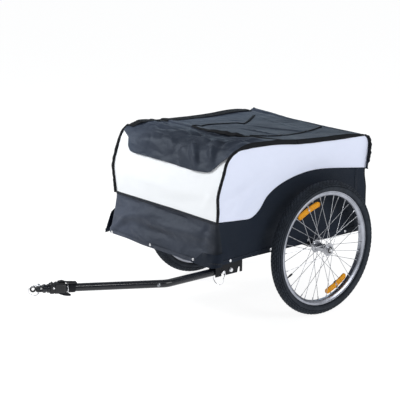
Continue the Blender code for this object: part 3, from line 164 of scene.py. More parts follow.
class Shape:
    """Points and faces of one piece, measured from the axle's middle."""

    def __init__(self):
        self.points = []
        self.faces = []

    def add(self, points, faces):
        """Add points and the faces between them."""
        start = len(self.points)
        self.points += [Vector(point) for point in points]
        self.faces += [[start + k for k in face] for face in faces]
        return self

    def join(self, other, matrix=None):
        """Add another shape, moved by a matrix if one is given."""
        points = [matrix @ point for point in other.points] if matrix else other.points
        return self.add(points, other.faces)

    def rings(self, rings, closed=False):
        """Add a skin over rings of points that follow each other, with end caps if it is open."""
        count = len(rings[0])
        points = [point for ring in rings for point in ring]
        faces = []
        for j in range(len(rings) if closed else len(rings) - 1):
            here, after = j * count, (j + 1) % len(rings) * count
            for k in range(count):
                n = (k + 1) % count
                faces.append([here + k, here + n, after + n, after + k])
        if not closed:
            faces.append(list(range(count))[::-1])
            faces.append([(len(rings) - 1) * count + k for k in range(count)])
        return self.add(points, faces)

    def tube(self, line, radius, sides=12, closed=False):
        """Add a round bar along a line. The radius may be one number or one for each point."""
        radii = radius if isinstance(radius, (list, tuple)) else [radius] * len(line)
        rings = []
        for point, (side, up), size in zip(line, carried(line, closed), radii):
            rings.append([point + size * (side * math.cos(angle) + up * math.sin(angle))
                          for angle in circle(sides)])
        return self.rings(rings, closed)

    def turned(self, profile, sides, axis="X", centre=(0, 0, 0)):
        """Add a turned body from (along, radius) points."""
        centre = Vector(centre)
        rings = []
        for along, radius in profile:
            radius = max(radius, SMALLEST_RADIUS)
            rings.append([centre + spun(along, radius, angle, axis) for angle in circle(sides)])
        return self.rings(rings)

    def hoop(self, outline, sides, centre=Vector(), side=1):
        """Add a ring round X from a closed outline of (along, radius) points. Side is where along goes."""
        rings = [[centre + spun(side * x, radius, angle, "X") for x, radius in outline]
                 for angle in circle(sides)]
        return self.rings(rings, closed=True)

    def ribbon(self, line, outs, width, thick, sides=12):
        """Add a flat strip with soft edges along a line. Outs are the directions that it faces."""
        rings = []
        widths = width if isinstance(width, (list, tuple)) else [width] * len(line)
        for k, (point, out, wide) in enumerate(zip(line, outs, widths)):
            head = heading(line, k)
            out = (out - head * out.dot(head)).normalized()
            across = head.cross(out)
            ring = []
            for angle in circle(sides, 0.5):
                along_width = blunt(math.cos(angle), 0.5) * wide / 2
                along_out = blunt(math.sin(angle), 0.6) * thick / 2
                ring.append(point + across * along_width + out * along_out)
            rings.append(ring)
        return self.rings(rings)

    def sheet(self, rows, outward, thick):
        """Add a closed sheet from rows of points on its outer face."""
        count, depth = len(rows[0]), len(rows)
        normals = []
        for j in range(depth):
            line = []
            for i in range(count):
                du = rows[j][min(i + 1, count - 1)] - rows[j][max(i - 1, 0)]
                dv = rows[min(j + 1, depth - 1)][i] - rows[max(j - 1, 0)][i]
                line.append(du.cross(dv).normalized())
            normals.append(line)
        middle = normals[depth // 2][count // 2]
        sign = 1 if middle.dot(Vector(outward)) > 0 else -1
        outer = [point for row in rows for point in row]
        inner = [point - normal * sign * thick for row, line in zip(rows, normals)
                 for point, normal in zip(row, line)]
        faces = []
        size = count * depth
        for j in range(depth - 1):
            for i in range(count - 1):
                face = [j * count + i, j * count + i + 1, (j + 1) * count + i + 1, (j + 1) * count + i]
                faces.append(face)
                faces.append([size + k for k in reversed(face)])
        edge = list(range(count))
        edge += [j * count + count - 1 for j in range(1, depth)]
        edge += [(depth - 1) * count + i for i in range(count - 2, -1, -1)]
        edge += [j * count for j in range(depth - 2, 0, -1)]
        for here, after in zip(edge, edge[1:] + edge[:1]):
            faces.append([here, size + here, size + after, after])
        return self.add(outer + inner, faces)

    def block(self, low, high):
        """Add a box between two corners."""
        points = [(x, y, z) for z in (low[2], high[2]) for y in (low[1], high[1]) for x in (low[0], high[0])]
        faces = [[0, 2, 3, 1], [4, 5, 7, 6], [0, 1, 5, 4], [2, 6, 7, 3], [0, 4, 6, 2], [1, 3, 7, 5]]
        return self.add(points, faces)

    def prism(self, outline, low, high):
        """Add a prism along Z from an outline of (x, y) points."""
        return self.rings([[Vector((x, y, z)) for x, y in outline] for z in (low, high)])

    def ball(self, centre, radius, sides):
        """Add a small ball."""
        rings = []
        for j in range(1, sides // 2):
            tilt = math.pi * j / (sides // 2)
            ring = []
            for angle in circle(sides):
                across, up = math.sin(tilt) * math.cos(angle), math.sin(tilt) * math.sin(angle)
                ring.append(centre + radius * Vector((across, up, math.cos(tilt))))
            rings.append(ring)
        return self.rings(rings)


def circle(count, start=0):
    """Even angles round a circle, with the first a share of a step on."""
    return [2 * math.pi * (k + start) / count for k in range(count)]


def blunt(value, power):
    """A sine or cosine that is drawn out towards a box's corner."""
    return math.copysign(abs(value) ** power, value)


def spread(low, high, count):
    """Even steps from a low to a high value."""
    return [low + k / count * (high - low) for k in range(count + 1)]


def spun(along, radius, angle, axis):
    """A point at a distance along an axis and a radius and angle round it."""
    across, up = radius * math.cos(angle), radius * math.sin(angle)
    if axis == "X":
        return Vector((along, across, up))
    if axis == "Y":
        return Vector((across, along, up))
    return Vector((across, up, along))


def heading(line, k, closed=False):
    """The direction of a line at one of its points."""
    count = len(line)
    if closed:
        return (line[(k + 1) % count] - line[k - 1]).normalized()
    return (line[min(k + 1, count - 1)] - line[max(k - 1, 0)]).normalized()


def carried(line, closed=False):
    """Two directions across a line at each point, turned as little as possible from one to the next."""
    head = heading(line, 0, closed)
    side = head.orthogonal().normalized()
    frames = []
    for k in range(len(line)):
        head = heading(line, k, closed)
        side = (side - head * side.dot(head)).normalized()
        frames.append((side, head.cross(side)))
    return frames


def rounded(points, radii, steps):
    """A polyline whose inner corners are replaced by arcs of the given radii and steps."""
    points = [Vector(point) for point in points]
    line = [points[0]]
    for before, corner, after, radius, count in zip(points, points[1:], points[2:], radii, steps):
        back, forth = (before - corner).normalized(), (after - corner).normalized()
        half = back.angle(forth) / 2
        reach = radius / math.tan(half)
        centre = corner + (back + forth).normalized() * radius / math.sin(half)
        first, last = corner + back * reach - centre, corner + forth * reach - centre
        turn = first.angle(last)
        for k in range(count + 1):
            share = k / count
            point = (first * math.sin((1 - share) * turn) + last * math.sin(share * turn)) / math.sin(turn)
            line.append(centre + point)
    line.append(points[-1])
    return line


def even(line, count):
    """Points at equal distances along a line, with both of its ends."""
    reach = [0.0]
    for before, after in zip(line, line[1:]):
        reach.append(reach[-1] + (after - before).length)
    points, k = [], 0
    for n in range(count + 1):
        along = reach[-1] * n / count
        while k < len(line) - 2 and reach[k + 1] < along:
            k += 1
        share = (along - reach[k]) / max(reach[k + 1] - reach[k], 1e-9)
        points.append(line[k].lerp(line[k + 1], min(1.0, share)))
    return points


def line_length(line):
    """The length of a line of points."""
    return sum((after - before).length for before, after in zip(line, line[1:]))


def smooth_curve(points, count):
    """A smooth line through a few points, at equal distances."""
    points = [Vector(point) for point in points]
    fine = []
    for k in range(len(points) - 1):
        a, b = points[max(k - 1, 0)], points[k]
        c, d = points[k + 1], points[min(k + 2, len(points) - 1)]
        for n in range(12):
            t = n / 12
            fine.append(0.5 * ((2 * b) + (c - a) * t + (2 * a - 5 * b + 4 * c - d) * t * t
                               + (3 * b - 3 * c + d - a) * t * t * t))
    return even(fine + [points[-1]], count)


def smooth_step(value):
    """0 below 0, 1 above 1 and smooth between."""
    value = min(1.0, max(0.0, value))
    return value * value * (3 - 2 * value)


def inside(share, first, last):
    """1 within a run from 0 to 1, with a soft fall to 0 at both ends. Higher rates fall faster."""
    return smooth_step(share * first) * smooth_step((1 - share) * last)


def bump(value, centre, width):
    """A soft hill of height 1 round a place."""
    return math.exp(-((value - centre) / width) ** 2)


def hills(table, value):
    """The height of a row of soft hills and hollows, from their (centre, width, height)."""
    return sum(height * bump(value, centre, width) for centre, width, height in table)


# Tub surfaces, as in the solids

def side_seam_height(y):
    """The height of the side's colour seam at a place along the trailer."""
    points = SIDE_SEAM
    slopes = []
    for k in range(len(points)):
        before, after = points[max(k - 1, 0)], points[min(k + 1, len(points) - 1)]
        slopes.append((after[1] - before[1]) / (after[0] - before[0]))
    y = min(points[-1][0], max(points[0][0], y))
    for k in range(len(points) - 1):
        (y0, z0), (y1, z1) = points[k], points[k + 1]
        if y <= y1:
            break
    span = y1 - y0
    t = (y - y0) / span
    return (z0 * (1 + 2 * t) * (1 - t) ** 2 + slopes[k] * span * t * (1 - t) ** 2
            + z1 * t * t * (3 - 2 * t) - slopes[k + 1] * span * t * t * (1 - t))


def side_x(y, z):
    """The half width of the tub at a place on its side."""
    if z > WAIST_HEIGHT:
        flare = TOP_FLARE * ((z - WAIST_HEIGHT) / (TOP_AT_FRONT - WAIST_HEIGHT)) ** 2
    else:
        flare = HEM_FLARE * ((WAIST_HEIGHT - z) / WAIST_HEIGHT) ** 2
    near_front = smooth_step((CORNER_FLARE_LENGTH - FRONT_WALL - y) / CORNER_FLARE_LENGTH)
    near_hem = smooth_step((WAIST_HEIGHT - z) / WAIST_HEIGHT)
    return WAIST_HALF_WIDTH + flare + CORNER_FLARE * near_front * near_hem


def front_y(z):
    """The front wall's outer face below the seam, where it flares forwards to the hem."""
    drop = max(0.0, FRONT_SEAM - z) / FRONT_SEAM
    return -FRONT_WALL - FRONT_HEM_FLARE * drop ** 1.3


def top_height(y):
    """The height of the straight run of the tub's top."""
    front = SHOULDER_SET_BACK - FRONT_WALL
    slope = (TOP_AT_REAR - TOP_AT_FRONT) / (REAR_WALL - front)
    return TOP_AT_FRONT + slope * (y - front)


def shell_line(inset):
    """The tub's side outline above the seams, drawn in by an inset, as (0, y, z) from front to rear."""
    corners = [Vector(corner) for corner in (
        (-FRONT_WALL, FRONT_SEAM), (-FRONT_WALL - FRONT_BULGE, BULGE_HEIGHT),
        (SHOULDER_SET_BACK - FRONT_WALL, TOP_AT_FRONT), (REAR_WALL, TOP_AT_REAR), (REAR_WALL, REAR_SEAM))]
    heads = [(after - before).normalized() for before, after in zip(corners, corners[1:])]
    inward = [Vector((head.y, -head.x)) for head in heads]
    drawn = [Vector((corners[0].x + inset / inward[0].x, FRONT_SEAM))]
    for k in range(1, len(corners) - 1):
        both = inward[k - 1] + inward[k]
        drawn.append(corners[k] + both * inset / (1 + inward[k - 1].dot(inward[k])))
    drawn.append(Vector((REAR_WALL - inset, REAR_SEAM)))
    radii = [BULGE_RADIUS - inset, FRONT_SHOULDER - inset, REAR_SHOULDER - inset]
    return rounded([(0, corner.x, corner.y) for corner in drawn], radii,
                   [BULGE_STEPS, SHOULDER_STEPS, REAR_STEPS])


def front_wall_line(inset):
    """The front wall's points, from the seam over the bulge up to the shoulder."""
    return shell_line(inset)[:BULGE_STEPS + 3]


def front_arc(inset):
    """The front shoulder's points, from the wall up to the straight top."""
    return shell_line(inset)[2 + BULGE_STEPS:3 + BULGE_STEPS + SHOULDER_STEPS]


def rear_arc(inset):
    """The rear shoulder's points, from the straight top down to the wall."""
    return shell_line(inset)[3 + BULGE_STEPS + SHOULDER_STEPS:-1]


def wall_y(inset, z):
    """The front wall's place along the trailer at a height, and the shoulder's start above it."""
    line = front_wall_line(inset)
    if z >= line[-1].z:
        return line[-1].y
    for before, after in zip(line, line[1:]):
        if z <= after.z:
            break
    return before.y + (after.y - before.y) * (z - before.z) / (after.z - before.z)


def relief(x, y, folds, ripples=(), thin=()):
    """The height that folds, ripples and thin creases add at a point of a cloth."""
    total = sum(height * ripple(x, y, scale, seed) for scale, seed, height in ripples)
    total += sum(height * creases(x, y, scale, turn, seed) for scale, turn, seed, height in thin)
    for fold_x, fold_y, heading_deg, length, width, height in folds:
        turn = math.radians(heading_deg)
        along = (x - fold_x) * math.cos(turn) + (y - fold_y) * math.sin(turn)
        across = (y - fold_y) * math.cos(turn) - (x - fold_x) * math.sin(turn)
        total += height * math.exp(-(across / width) ** 2 - (along / (0.5 * length)) ** 4)
    return total


def creases(x, y, scale, turn, seed):
    """Thin ridges from 0 to 1 that run mostly one way, as in crumpled cloth."""
    along = x * math.cos(turn) + y * math.sin(turn)
    across = y * math.cos(turn) - x * math.sin(turn)
    bend = noise.noise(Vector((x * 7, y * 7, seed + 5.3))) * 0.05
    value = noise.noise(Vector((along * scale * 0.42, (across + bend) * scale, seed)))
    return max(0.0, 1 - abs(value) * 3.2) ** 2


def ripple(x, y, scale, seed):
    """A soft even waviness from -1 to 1."""
    return noise.noise(Vector((x * scale, y * scale, seed)))


# Materials

class Finish:
    """A material under construction, with short ways to add nodes."""

    def __init__(self, name, slot, colour, roughness, metallic=0.0):
        self.slot = slot
        self.material = bpy.data.materials.new(name)
        self.material.use_nodes = True
        self.tree = self.material.node_tree
        self.shader = self.tree.nodes["Principled BSDF"]
        self.shader.inputs["Base Color"].default_value = (*colour, 1)
        self.shader.inputs["Roughness"].default_value = roughness
        self.shader.inputs["Metallic"].default_value = metallic
        self.colour = colour
        self.place = self.node("ShaderNodeTexCoord").outputs["Object"]
        self.last_bump = None

    def node(self, kind, **sockets):
        """A node with some of its sockets set or linked."""
        made = self.tree.nodes.new(kind)
        for name, value in sockets.items():
            self.feed(made.inputs[name.replace("_", " ")], value)
        return made

    def feed(self, socket, value):
        """Link a socket to an output, or set it to a value."""
        if isinstance(value, bpy.types.NodeSocket):
            self.tree.links.new(value, socket)
        else:
            socket.default_value = value

    def math(self, operation, first, second=0.0):
        """One sum on two values."""
        made = self.tree.nodes.new("ShaderNodeMath")
        made.operation = operation
        self.feed(made.inputs[0], first)
        self.feed(made.inputs[1], second)
        return made.outputs[0]

    def noise(self, scale, detail=2.0, stretch=(1, 1, 1)):
        """Noise over the piece, with a scale in waves per metre."""
        place = self.place
        if stretch != (1, 1, 1):
            place = self.node("ShaderNodeMapping", Vector=place, Scale=stretch).outputs[0]
        return self.node("ShaderNodeTexNoise", Vector=place, Scale=scale, Detail=detail).outputs["Fac"]

    def axis(self, number):
        """The place along X, Y or Z."""
        return self.node("ShaderNodeSeparateXYZ", Vector=self.place).outputs[number]

    def check(self, axes, length):
        """Hills and hollows in a square pattern over two axes, from -1 to 1."""
        waves = []
        for number in axes:
            turns = self.math("MULTIPLY", self.axis(number), 2 * math.pi / length)
            waves.append(self.math("SINE", turns))
        return self.math("MULTIPLY", waves[0], waves[1])

    def ramp(self, value, low, high, dark, light):
        """A colour between two, where a value goes from low to high."""
        made = self.tree.nodes.new("ShaderNodeValToRGB")
        self.feed(made.inputs[0], value)
        first, last = made.color_ramp.elements
        first.position, last.position = low, high
        first.color, last.color = (*dark, 1), (*light, 1)
        return made.outputs[0]

    def span(self, value, low, high, least, most):
        """A number between two, where a value goes from low to high."""
        made = self.tree.nodes.new("ShaderNodeMapRange")
        for socket, number in zip(made.inputs, (value, low, high, least, most)):
            self.feed(socket, number)
        return made.outputs[0]

    def shade(self, value, low, high, darker, lighter):
        """Vary the base colour by factors, where a value goes from low to high."""
        dark = tuple(c * darker for c in self.colour)
        light = tuple(min(1.0, c * lighter) for c in self.colour)
        self.feed(self.shader.inputs["Base Color"], self.ramp(value, low, high, dark, light))

    def scale_colour(self, factor):
        """Multiply the base colour by a value."""
        socket = self.shader.inputs["Base Color"]
        made = self.node("ShaderNodeVectorMath")
        made.operation = "SCALE"
        self.feed(made.inputs["Vector"], socket.links[0].from_socket)
        self.feed(made.inputs["Scale"], factor)
        self.feed(socket, made.outputs[0])

    def rough(self, value, low, high, least, most):
        """Vary the roughness, where a value goes from low to high."""
        self.feed(self.shader.inputs["Roughness"], self.span(value, low, high, least, most))

    def bump(self, height, distance, strength=1.0):
        """Lay a bump over those laid before."""
        made = self.node("ShaderNodeBump", Height=height, Distance=distance, Strength=strength)
        if self.last_bump:
            self.feed(made.inputs["Normal"], self.last_bump)
        self.last_bump = made.outputs[0]
        self.feed(self.shader.inputs["Normal"], self.last_bump)

    def set(self, **sockets):
        """Set plain values on the shader."""
        for name, value in sockets.items():
            self.shader.inputs[name.replace("_", " ")].default_value = value


THREAD = 0.0011
PRISM = 0.0035
COOL_GLOSS = (0.72, 0.84, 1.0, 1)
RUBBER_GLOSS = (0.82, 0.91, 1.0, 1)

# Where painted light and shade change the cloth's colour across the trailer: the far run and the near run
FAR_PAINTED_LIGHT_RUN = (-0.27, -0.06)
NEAR_PAINTED_SHADING_RUN = (0.235, 0.296)


def woven(name, slot, colour, roughness, axes, soften, crumple, folds, sheen=0.0, far_painted_light=1.0, near_painted_shading=1.0):
    """Plain woven cloth. Axes are its threads' two directions; the last two factors scale its colour towards
    the far run and the near run, as painted light above 1 and painted shade below 1.
    """
    made = Finish(name, slot, colour, roughness)
    weave = made.check(axes, THREAD)
    fuzz = made.noise(1400, 1.0)
    thread = made.math("ADD", made.math("MULTIPLY", weave, 0.5), fuzz)
    mottle = made.noise(9, 4.0)
    tone = made.math("ADD", made.math("MULTIPLY", weave, 0.05), mottle)
    made.shade(tone, 0.3, 0.72, 1 - 0.12 * soften, 1 + 0.12 * soften)
    # Painted light and shade: the colour is scaled along X towards the far and near runs.
    if far_painted_light != 1.0 or near_painted_shading != 1.0:
        far_painted = made.span(made.axis(0), *FAR_PAINTED_LIGHT_RUN, far_painted_light, 1.0)
        near_painted = made.span(made.axis(0), *NEAR_PAINTED_SHADING_RUN, 1.0, near_painted_shading)
        made.scale_colour(made.math("MULTIPLY", far_painted, near_painted))
    made.bump(made.noise(7.5, 2.5, (1.0, 1.0, 1.6)), folds)
    made.bump(made.noise(26, 5.0), crumple, 0.55)
    made.bump(thread, 0.00022, 0.45)
    made.rough(mottle, 0.3, 0.7, roughness - 0.05, roughness + 0.05)
    made.set(Sheen_Weight=sheen, Sheen_Roughness=0.45, Specular_IOR_Level=0.28, Specular_Tint=COOL_GLOSS)
    return made


def webbing(name, slot, colour):
    """Ribbed tape."""
    made = Finish(name, slot, colour, 0.75)
    ribs = made.node("ShaderNodeTexWave", Vector=made.place, Scale=260.0, Distortion=0.6).outputs["Fac"]
    made.shade(made.noise(60, 3.0), 0.3, 0.7, 0.8, 1.25)
    made.bump(ribs, 0.0003, 0.5)
    made.bump(made.noise(900, 1.0), 0.0002, 0.4)
    made.set(Specular_IOR_Level=0.22)
    return made


def coated_steel(name, slot, colour, roughness, coat, shine):
    """Gloss paint on steel, with faint orange peel, dust and rubbed spots."""
    made = Finish(name, slot, colour, roughness)
    made.shade(made.noise(22, 5.0), 0.35, 0.75, 0.85, 1.3)
    made.rough(made.noise(60, 4.0), 0.3, 0.75, roughness - 0.06, roughness + 0.12)
    made.bump(made.noise(700, 2.0), 0.00008, 0.4)
    made.set(Coat_Weight=coat, Coat_Roughness=0.12, Specular_IOR_Level=shine)
    return made


def bare_metal(name, slot, colour, roughness, stretch=(1, 1, 1), scratch=500.0):
    """Plated or bare metal with fine scratches and a slightly uneven shine."""
    made = Finish(name, slot, colour, roughness, 1.0)
    made.shade(made.noise(40, 4.0), 0.3, 0.75, 0.82, 1.1)
    made.rough(made.noise(90, 5.0, stretch), 0.3, 0.7, roughness - 0.08, roughness + 0.14)
    made.bump(made.noise(scratch, 3.0, stretch), 0.00006, 0.4)
    return made


def moulded(name, slot, colour, roughness):
    """Moulded plastic with a fine grain."""
    made = Finish(name, slot, colour, roughness)
    made.shade(made.noise(30, 3.0), 0.3, 0.7, 0.88, 1.15)
    grain = made.node("ShaderNodeTexVoronoi", Vector=made.place, Scale=1500.0).outputs["Distance"]
    made.bump(grain, 0.00012, 0.35)
    made.rough(made.noise(200, 2.0), 0.3, 0.7, roughness - 0.05, roughness + 0.08)
    return made


def tyre_rubber(name):
    """Tyre rubber, a little dusty and dull."""
    made = Finish(name, "rubber", (0.013, 0.0165, 0.0235), 0.6)
    made.shade(made.noise(34, 5.0), 0.35, 0.72, 0.8, 1.45)
    made.bump(made.noise(130, 3.0), 0.001, 0.6)
    made.bump(made.noise(420, 4.0), 0.0002, 0.5)
    made.rough(made.noise(70, 4.0), 0.3, 0.7, 0.52, 0.76)
    made.set(Specular_IOR_Level=0.28, Specular_Tint=RUBBER_GLOSS)
    return made


def amber_plastic(name):
    """Clear amber plastic with a prism pattern behind its face."""
    made = Finish(name, "amber", (0.93, 0.31, 0.003), 0.3)
    prism = made.check((1, 2), PRISM)
    made.shade(made.math("ADD", prism, made.noise(60, 3.0)), -0.2, 1.2, 0.42, 1.45)
    made.bump(prism, 0.0006, 0.5)
    made.set(Coat_Weight=0.06, Coat_Roughness=0.12, Specular_IOR_Level=0.2)
    return made


white_front = woven("white_front_cloth", "white_cloth", (0.905, 0.93, 0.955), 0.68, (0, 2), soften=0.1,
                    crumple=0.0006, folds=0.005)
# Painted shade: the sides' copy of the white cloth is darker and bluer than the front's.
white_side_shaded = woven("white_side_cloth", "white_cloth", (0.755, 0.8, 0.955), 0.68, (1, 2), soften=0.1,
                   crumple=0.0006, folds=0.006)
# Painted light and shade: its far run is painted lighter and its near corner painted darker.
black_front = woven("black_front_cloth", "black_cloth", (0.032, 0.038, 0.054), 0.56, (0, 2), soften=0.8,
                    sheen=0.03, crumple=0.0016, folds=0.024, far_painted_light=1.75, near_painted_shading=0.22)
# Much darker than the front's black cloth: partly a darker cloth, partly painted shade on the sides and rear.
black_side = woven("black_side_cloth", "black_cloth", (0.0048, 0.0082, 0.0165), 0.66, (1, 2), soften=0.8,
                   crumple=0.0006, folds=0.006)
# Painted light: its far run and its near run are painted lighter.
black_top = woven("black_top_cloth", "black_cloth", (0.022, 0.028, 0.042), 0.55, (0, 1), soften=0.8,
                  crumple=0.002, folds=0.017, far_painted_light=2.0, near_painted_shading=1.6)
binding = webbing("binding_tape", "black_cloth", (0.007, 0.008, 0.0105))
seam_tape = webbing("seam_tape", "black_cloth", (0.017, 0.0205, 0.029))
strap_tape = webbing("strap_tape", "webbing", (0.0085, 0.0095, 0.0125))
stitch_dark = webbing("dark_thread", "black_cloth", (0.05, 0.052, 0.06))
stitch_light = webbing("light_thread", "white_cloth", (0.62, 0.64, 0.7))
frame_paint = coated_steel("frame_paint", "black_steel", (0.005, 0.006, 0.009), 0.34, 0.06, 0.16)
arm_paint = coated_steel("arm_paint", "black_steel", (0.007, 0.0085, 0.013), 0.2, 0.45, 0.22)
zinc = bare_metal("zinc_plate", "zinc_steel", (0.8, 0.81, 0.84), 0.24)
# Painted shade: a darker copy of the zinc, for the arm bolt.
shaded_zinc = bare_metal("dark_zinc_plate", "zinc_steel", (0.26, 0.27, 0.29), 0.3)
galvanised = bare_metal("hub_metal", "alloy", (0.45, 0.46, 0.49), 0.36, scratch=260.0)
rim_metal = bare_metal("rim_alloy", "alloy", (0.42, 0.44, 0.5), 0.33, (1, 0.2, 0.2))
spoke_metal = bare_metal("spoke_steel", "alloy", (0.47, 0.48, 0.51), 0.3)
rubber = tyre_rubber("tyre_rubber")
seal_rubber = moulded("seal_rubber", "rubber", (0.012, 0.012, 0.013), 0.6)
amber = amber_plastic("amber_reflector")
black_plastic = moulded("black_plastic", "black_plastic", (0.0068, 0.008, 0.0108), 0.45)


SHARP_ANGLE = math.radians(38)


def add_bevel(piece, width):
    """Round a piece's sharp edges."""
    edges = piece.modifiers.new("edges", "BEVEL")
    edges.width = width
    edges.segments = 2
    edges.limit_method = "ANGLE"
    return edges


def dress(nodes, finish):
    """Give CAD nodes that stay in view a better material."""
    for node in nodes:
        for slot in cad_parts[node].material_slots:
            slot.material = finish.material


def add_piece(name, shape, finish, body, replaces=(), bevel=0.0):
    """One object from a shape, with its material, on its body."""
    data = bpy.data.meshes.new(name)
    data.from_pydata([tuple(point + AXLE) for point in shape.points], [], shape.faces)
    mesh = bmesh.new()
    mesh.from_mesh(data)
    bmesh.ops.recalc_face_normals(mesh, faces=mesh.faces)
    mesh.to_mesh(data)
    mesh.free()
    data.shade_smooth()
    data.set_sharp_from_angle(angle=SHARP_ANGLE)
    data.materials.append(finish.material)
    piece = bpy.data.objects.new(name, data)
    bpy.context.collection.objects.link(piece)
    if bevel:
        add_bevel(piece, bevel).harden_normals = True
    if body:
        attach(piece, body)
    if replaces:
        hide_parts(*replaces)
    return piece


def cloth(name, surface, steps, outward, finish, replaces=(), body="frame"):
    """A sheet of cloth whose outer face is a function of two shares from 0 to 1, in place of the CAD nodes
    that it replaces.
    """
    across, along = steps
    rows = [[surface(i / across, j / along) for i in range(across + 1)] for j in range(along + 1)]
    piece = add_piece(name, Shape().sheet(rows, outward, SHEET), finish, body, replaces)
    return piece


STITCH_STEP = 0.0075
STITCH_LENGTH = 0.0045
STITCH_HALF_WIDTH = 0.00045
STITCH_HEIGHT = 0.0006


def add_stitches(shape, line, outs, lift):
    """Add short threads along a line, standing on a face that looks along outs."""
    count = max(2, round(line_length(line) / STITCH_STEP))
    points = even(line, count)
    for k in range(count):
        share = k / count * (len(outs) - 1)
        near = min(len(outs) - 2, int(share))
        out = outs[near].lerp(outs[near + 1], share - near).normalized()
        head = (points[k + 1] - points[k]).normalized()
        out = (out - head * out.dot(head)).normalized()
        side = head.cross(out) * STITCH_HALF_WIDTH
        start = points[k] + out * lift
        end = start + head * STITCH_LENGTH
        crown = (start + end) / 2 + out * STITCH_HEIGHT
        shape.add([start - side, start + side, end + side, end - side, crown - side, crown + side],
                  [[0, 1, 5, 4], [4, 5, 2, 3], [0, 4, 3], [1, 2, 5], [0, 3, 2, 1]])


# Cloth tub

HEM_CORNER = 0.028
FAR_HEM_CORNER = 0.042
SEAM_CORNER = 0.008
REAR_CORNER = 0.007
HEM_DROOP = 0.005
FLAP_HEIGHT = 0.103
FLAP_STAND_OFF = 0.004
FLAP_DROOP = 0.012
EDGE_LIFT_START = 0.315
EDGE_LIFT_RUN = 0.06
FAR_EDGE_SINK = 0.0012
NEAR_EDGE_RISE = 0.0015
NEAR_FRONT_EDGE_RISE = 0.008
UPPER_PANEL_INSET = 0.002
FRONT_COLUMNS = 96
FRONT_WHITE_ROWS = 34
REAR_WHITE_ROWS = 18
SIDE_COLUMNS = 96

# Folds are (place along, place up or back, heading in degrees, length, width, height), ripples are
# (scale, seed, height) and creases are (scale, turn, seed, height)
FRONT_FOLDS = ((-0.2, 0.146, -10, 0.14, 0.016, -0.014), (-0.16, 0.098, 12, 0.22, 0.019, 0.0168),
               (0.03, 0.14, -3, 0.27, 0.012, -0.0154), (0.08, 0.096, 2, 0.38, 0.021, 0.0154),
               (-0.02, 0.06, -1, 0.2, 0.013, -0.0098), (-0.248, 0.045, 38, 0.13, 0.011, 0.0119),
               (0.2, 0.04, 13, 0.14, 0.015, -0.0112), (0.235, 0.12, 72, 0.12, 0.016, -0.007),
               (-0.11, 0.035, -16, 0.16, 0.012, 0.007))
SIDE_WHITE_FOLDS = ((-0.385, 0.205, 52, 0.16, 0.01, 0.005), (-0.335, 0.2, 46, 0.17, 0.014, -0.0048),
                    (-0.33, 0.262, 20, 0.24, 0.012, 0.005), (-0.3, 0.225, 34, 0.2, 0.012, -0.004),
                    (-0.23, 0.29, 22, 0.18, 0.016, -0.003), (0.04, 0.325, 6, 0.26, 0.016, 0.0024))
FRONT_WHITE_FOLDS = ((-0.06, 0.235, -7, 0.42, 0.026, 0.003), (0.12, 0.205, 10, 0.28, 0.018, -0.002),
                     (0.23, 0.215, 52, 0.14, 0.016, 0.0026), (-0.2, 0.2, -30, 0.14, 0.016, 0.0018))
SIDE_BLACK_FOLDS = ((-0.42, 0.08, 84, 0.14, 0.016, 0.003), (-0.36, 0.07, 70, 0.14, 0.02, -0.002),
                    (-0.25, 0.09, 20, 0.2, 0.022, 0.002))
FRONT_RIPPLES = ((30, 1.7, 0.0012),)
FRONT_CREASES = ((16, -0.35, 3.1, 0.002),)
SIDE_BLACK_RIPPLES = ((22, 4.4, 0.001),)
FRONT_WHITE_RIPPLES = ((14, 8.8, 0.001),)
SIDE_WHITE_RIPPLES = ((16, 2.2, 0.001),)
REAR_RIPPLES = ((16, 6.1, 0.0014),)
REAR_PANEL_CREASES = ((12, 0.5, 9.4, 0.0024),)
FLOOR_RIPPLES = ((12, 7.7, 0.0016),)

# Hills and hollows as (centre, width, height), of the cover's far edge and the near front corner
FAR_EDGE_HILLS = ((0.13, 0.11, 0.009), (0.228, 0.012, -0.007), (0.252, 0.026, 0.0068))
NEAR_CORNER_HILLS = ((0.28, 0.03, 0.0035), (0.152, 0.034, -0.008))


def corner_radius(z, side):
    """How round one of the tub's front corners is at a height below the seam."""
    hem = HEM_CORNER if side > 0 else FAR_HEM_CORNER
    return SEAM_CORNER + (hem - SEAM_CORNER) * smooth_step(1 - z / FRONT_SEAM)


def wrapped(share, half, radius):
    """A place across a wall whose ends wrap round its corners: x, distance back, and the facing."""
    reach = half - radius + radius * math.pi / 2
    along = (2 * share - 1) * reach
    over = abs(along) - (half - radius)
    if over <= 0:
        return along, 0.0, (0.0, 1.0)
    turn = over / radius
    sign = math.copysign(1, along)
    x = sign * (half - radius + radius * math.sin(turn))
    return x, radius * (1 - math.cos(turn)), (sign * math.sin(turn), math.cos(turn))


FULL = side_x(0, top_height(COVER_FOLD))


def edge_lift(x, y):
    """How far the cover's side edges stand above a straight run."""
    if x < 0:
        lift = hills(FAR_EDGE_HILLS, y) - FAR_EDGE_SINK
        return lift * smooth_step((abs(x) / FULL - 0.2) / 0.8)
    lift = NEAR_EDGE_RISE + 0.003 * smooth_step((0.25 - y) / 0.09) + 0.0025 * smooth_step((0.02 - y) / 0.16)
    lift += NEAR_FRONT_EDGE_RISE * smooth_step((y + 0.38) / 0.075) * smooth_step((-0.075 - y) / 0.14)
    return lift * smooth_step((abs(x) / FULL - 0.45) / 0.55)


def out_of(line, k):
    """The outward direction of the tub's side outline at one of its points."""
    head = heading(line, k)
    return Vector((0, -head.z, head.y))


def panel_lift(side, line, k, z):
    """How far a side panel follows the cover's edge at a height, over a point of the tub's outline."""
    share = smooth_step((z - EDGE_LIFT_START) / EDGE_LIFT_RUN)
    return out_of(line, k) * edge_lift(side * FULL, line[k].y) * share


def near_seam_shift(z):
    """How far the near front corner stands behind the wall at a height, or ahead of it."""
    return hills(NEAR_CORNER_HILLS, z)


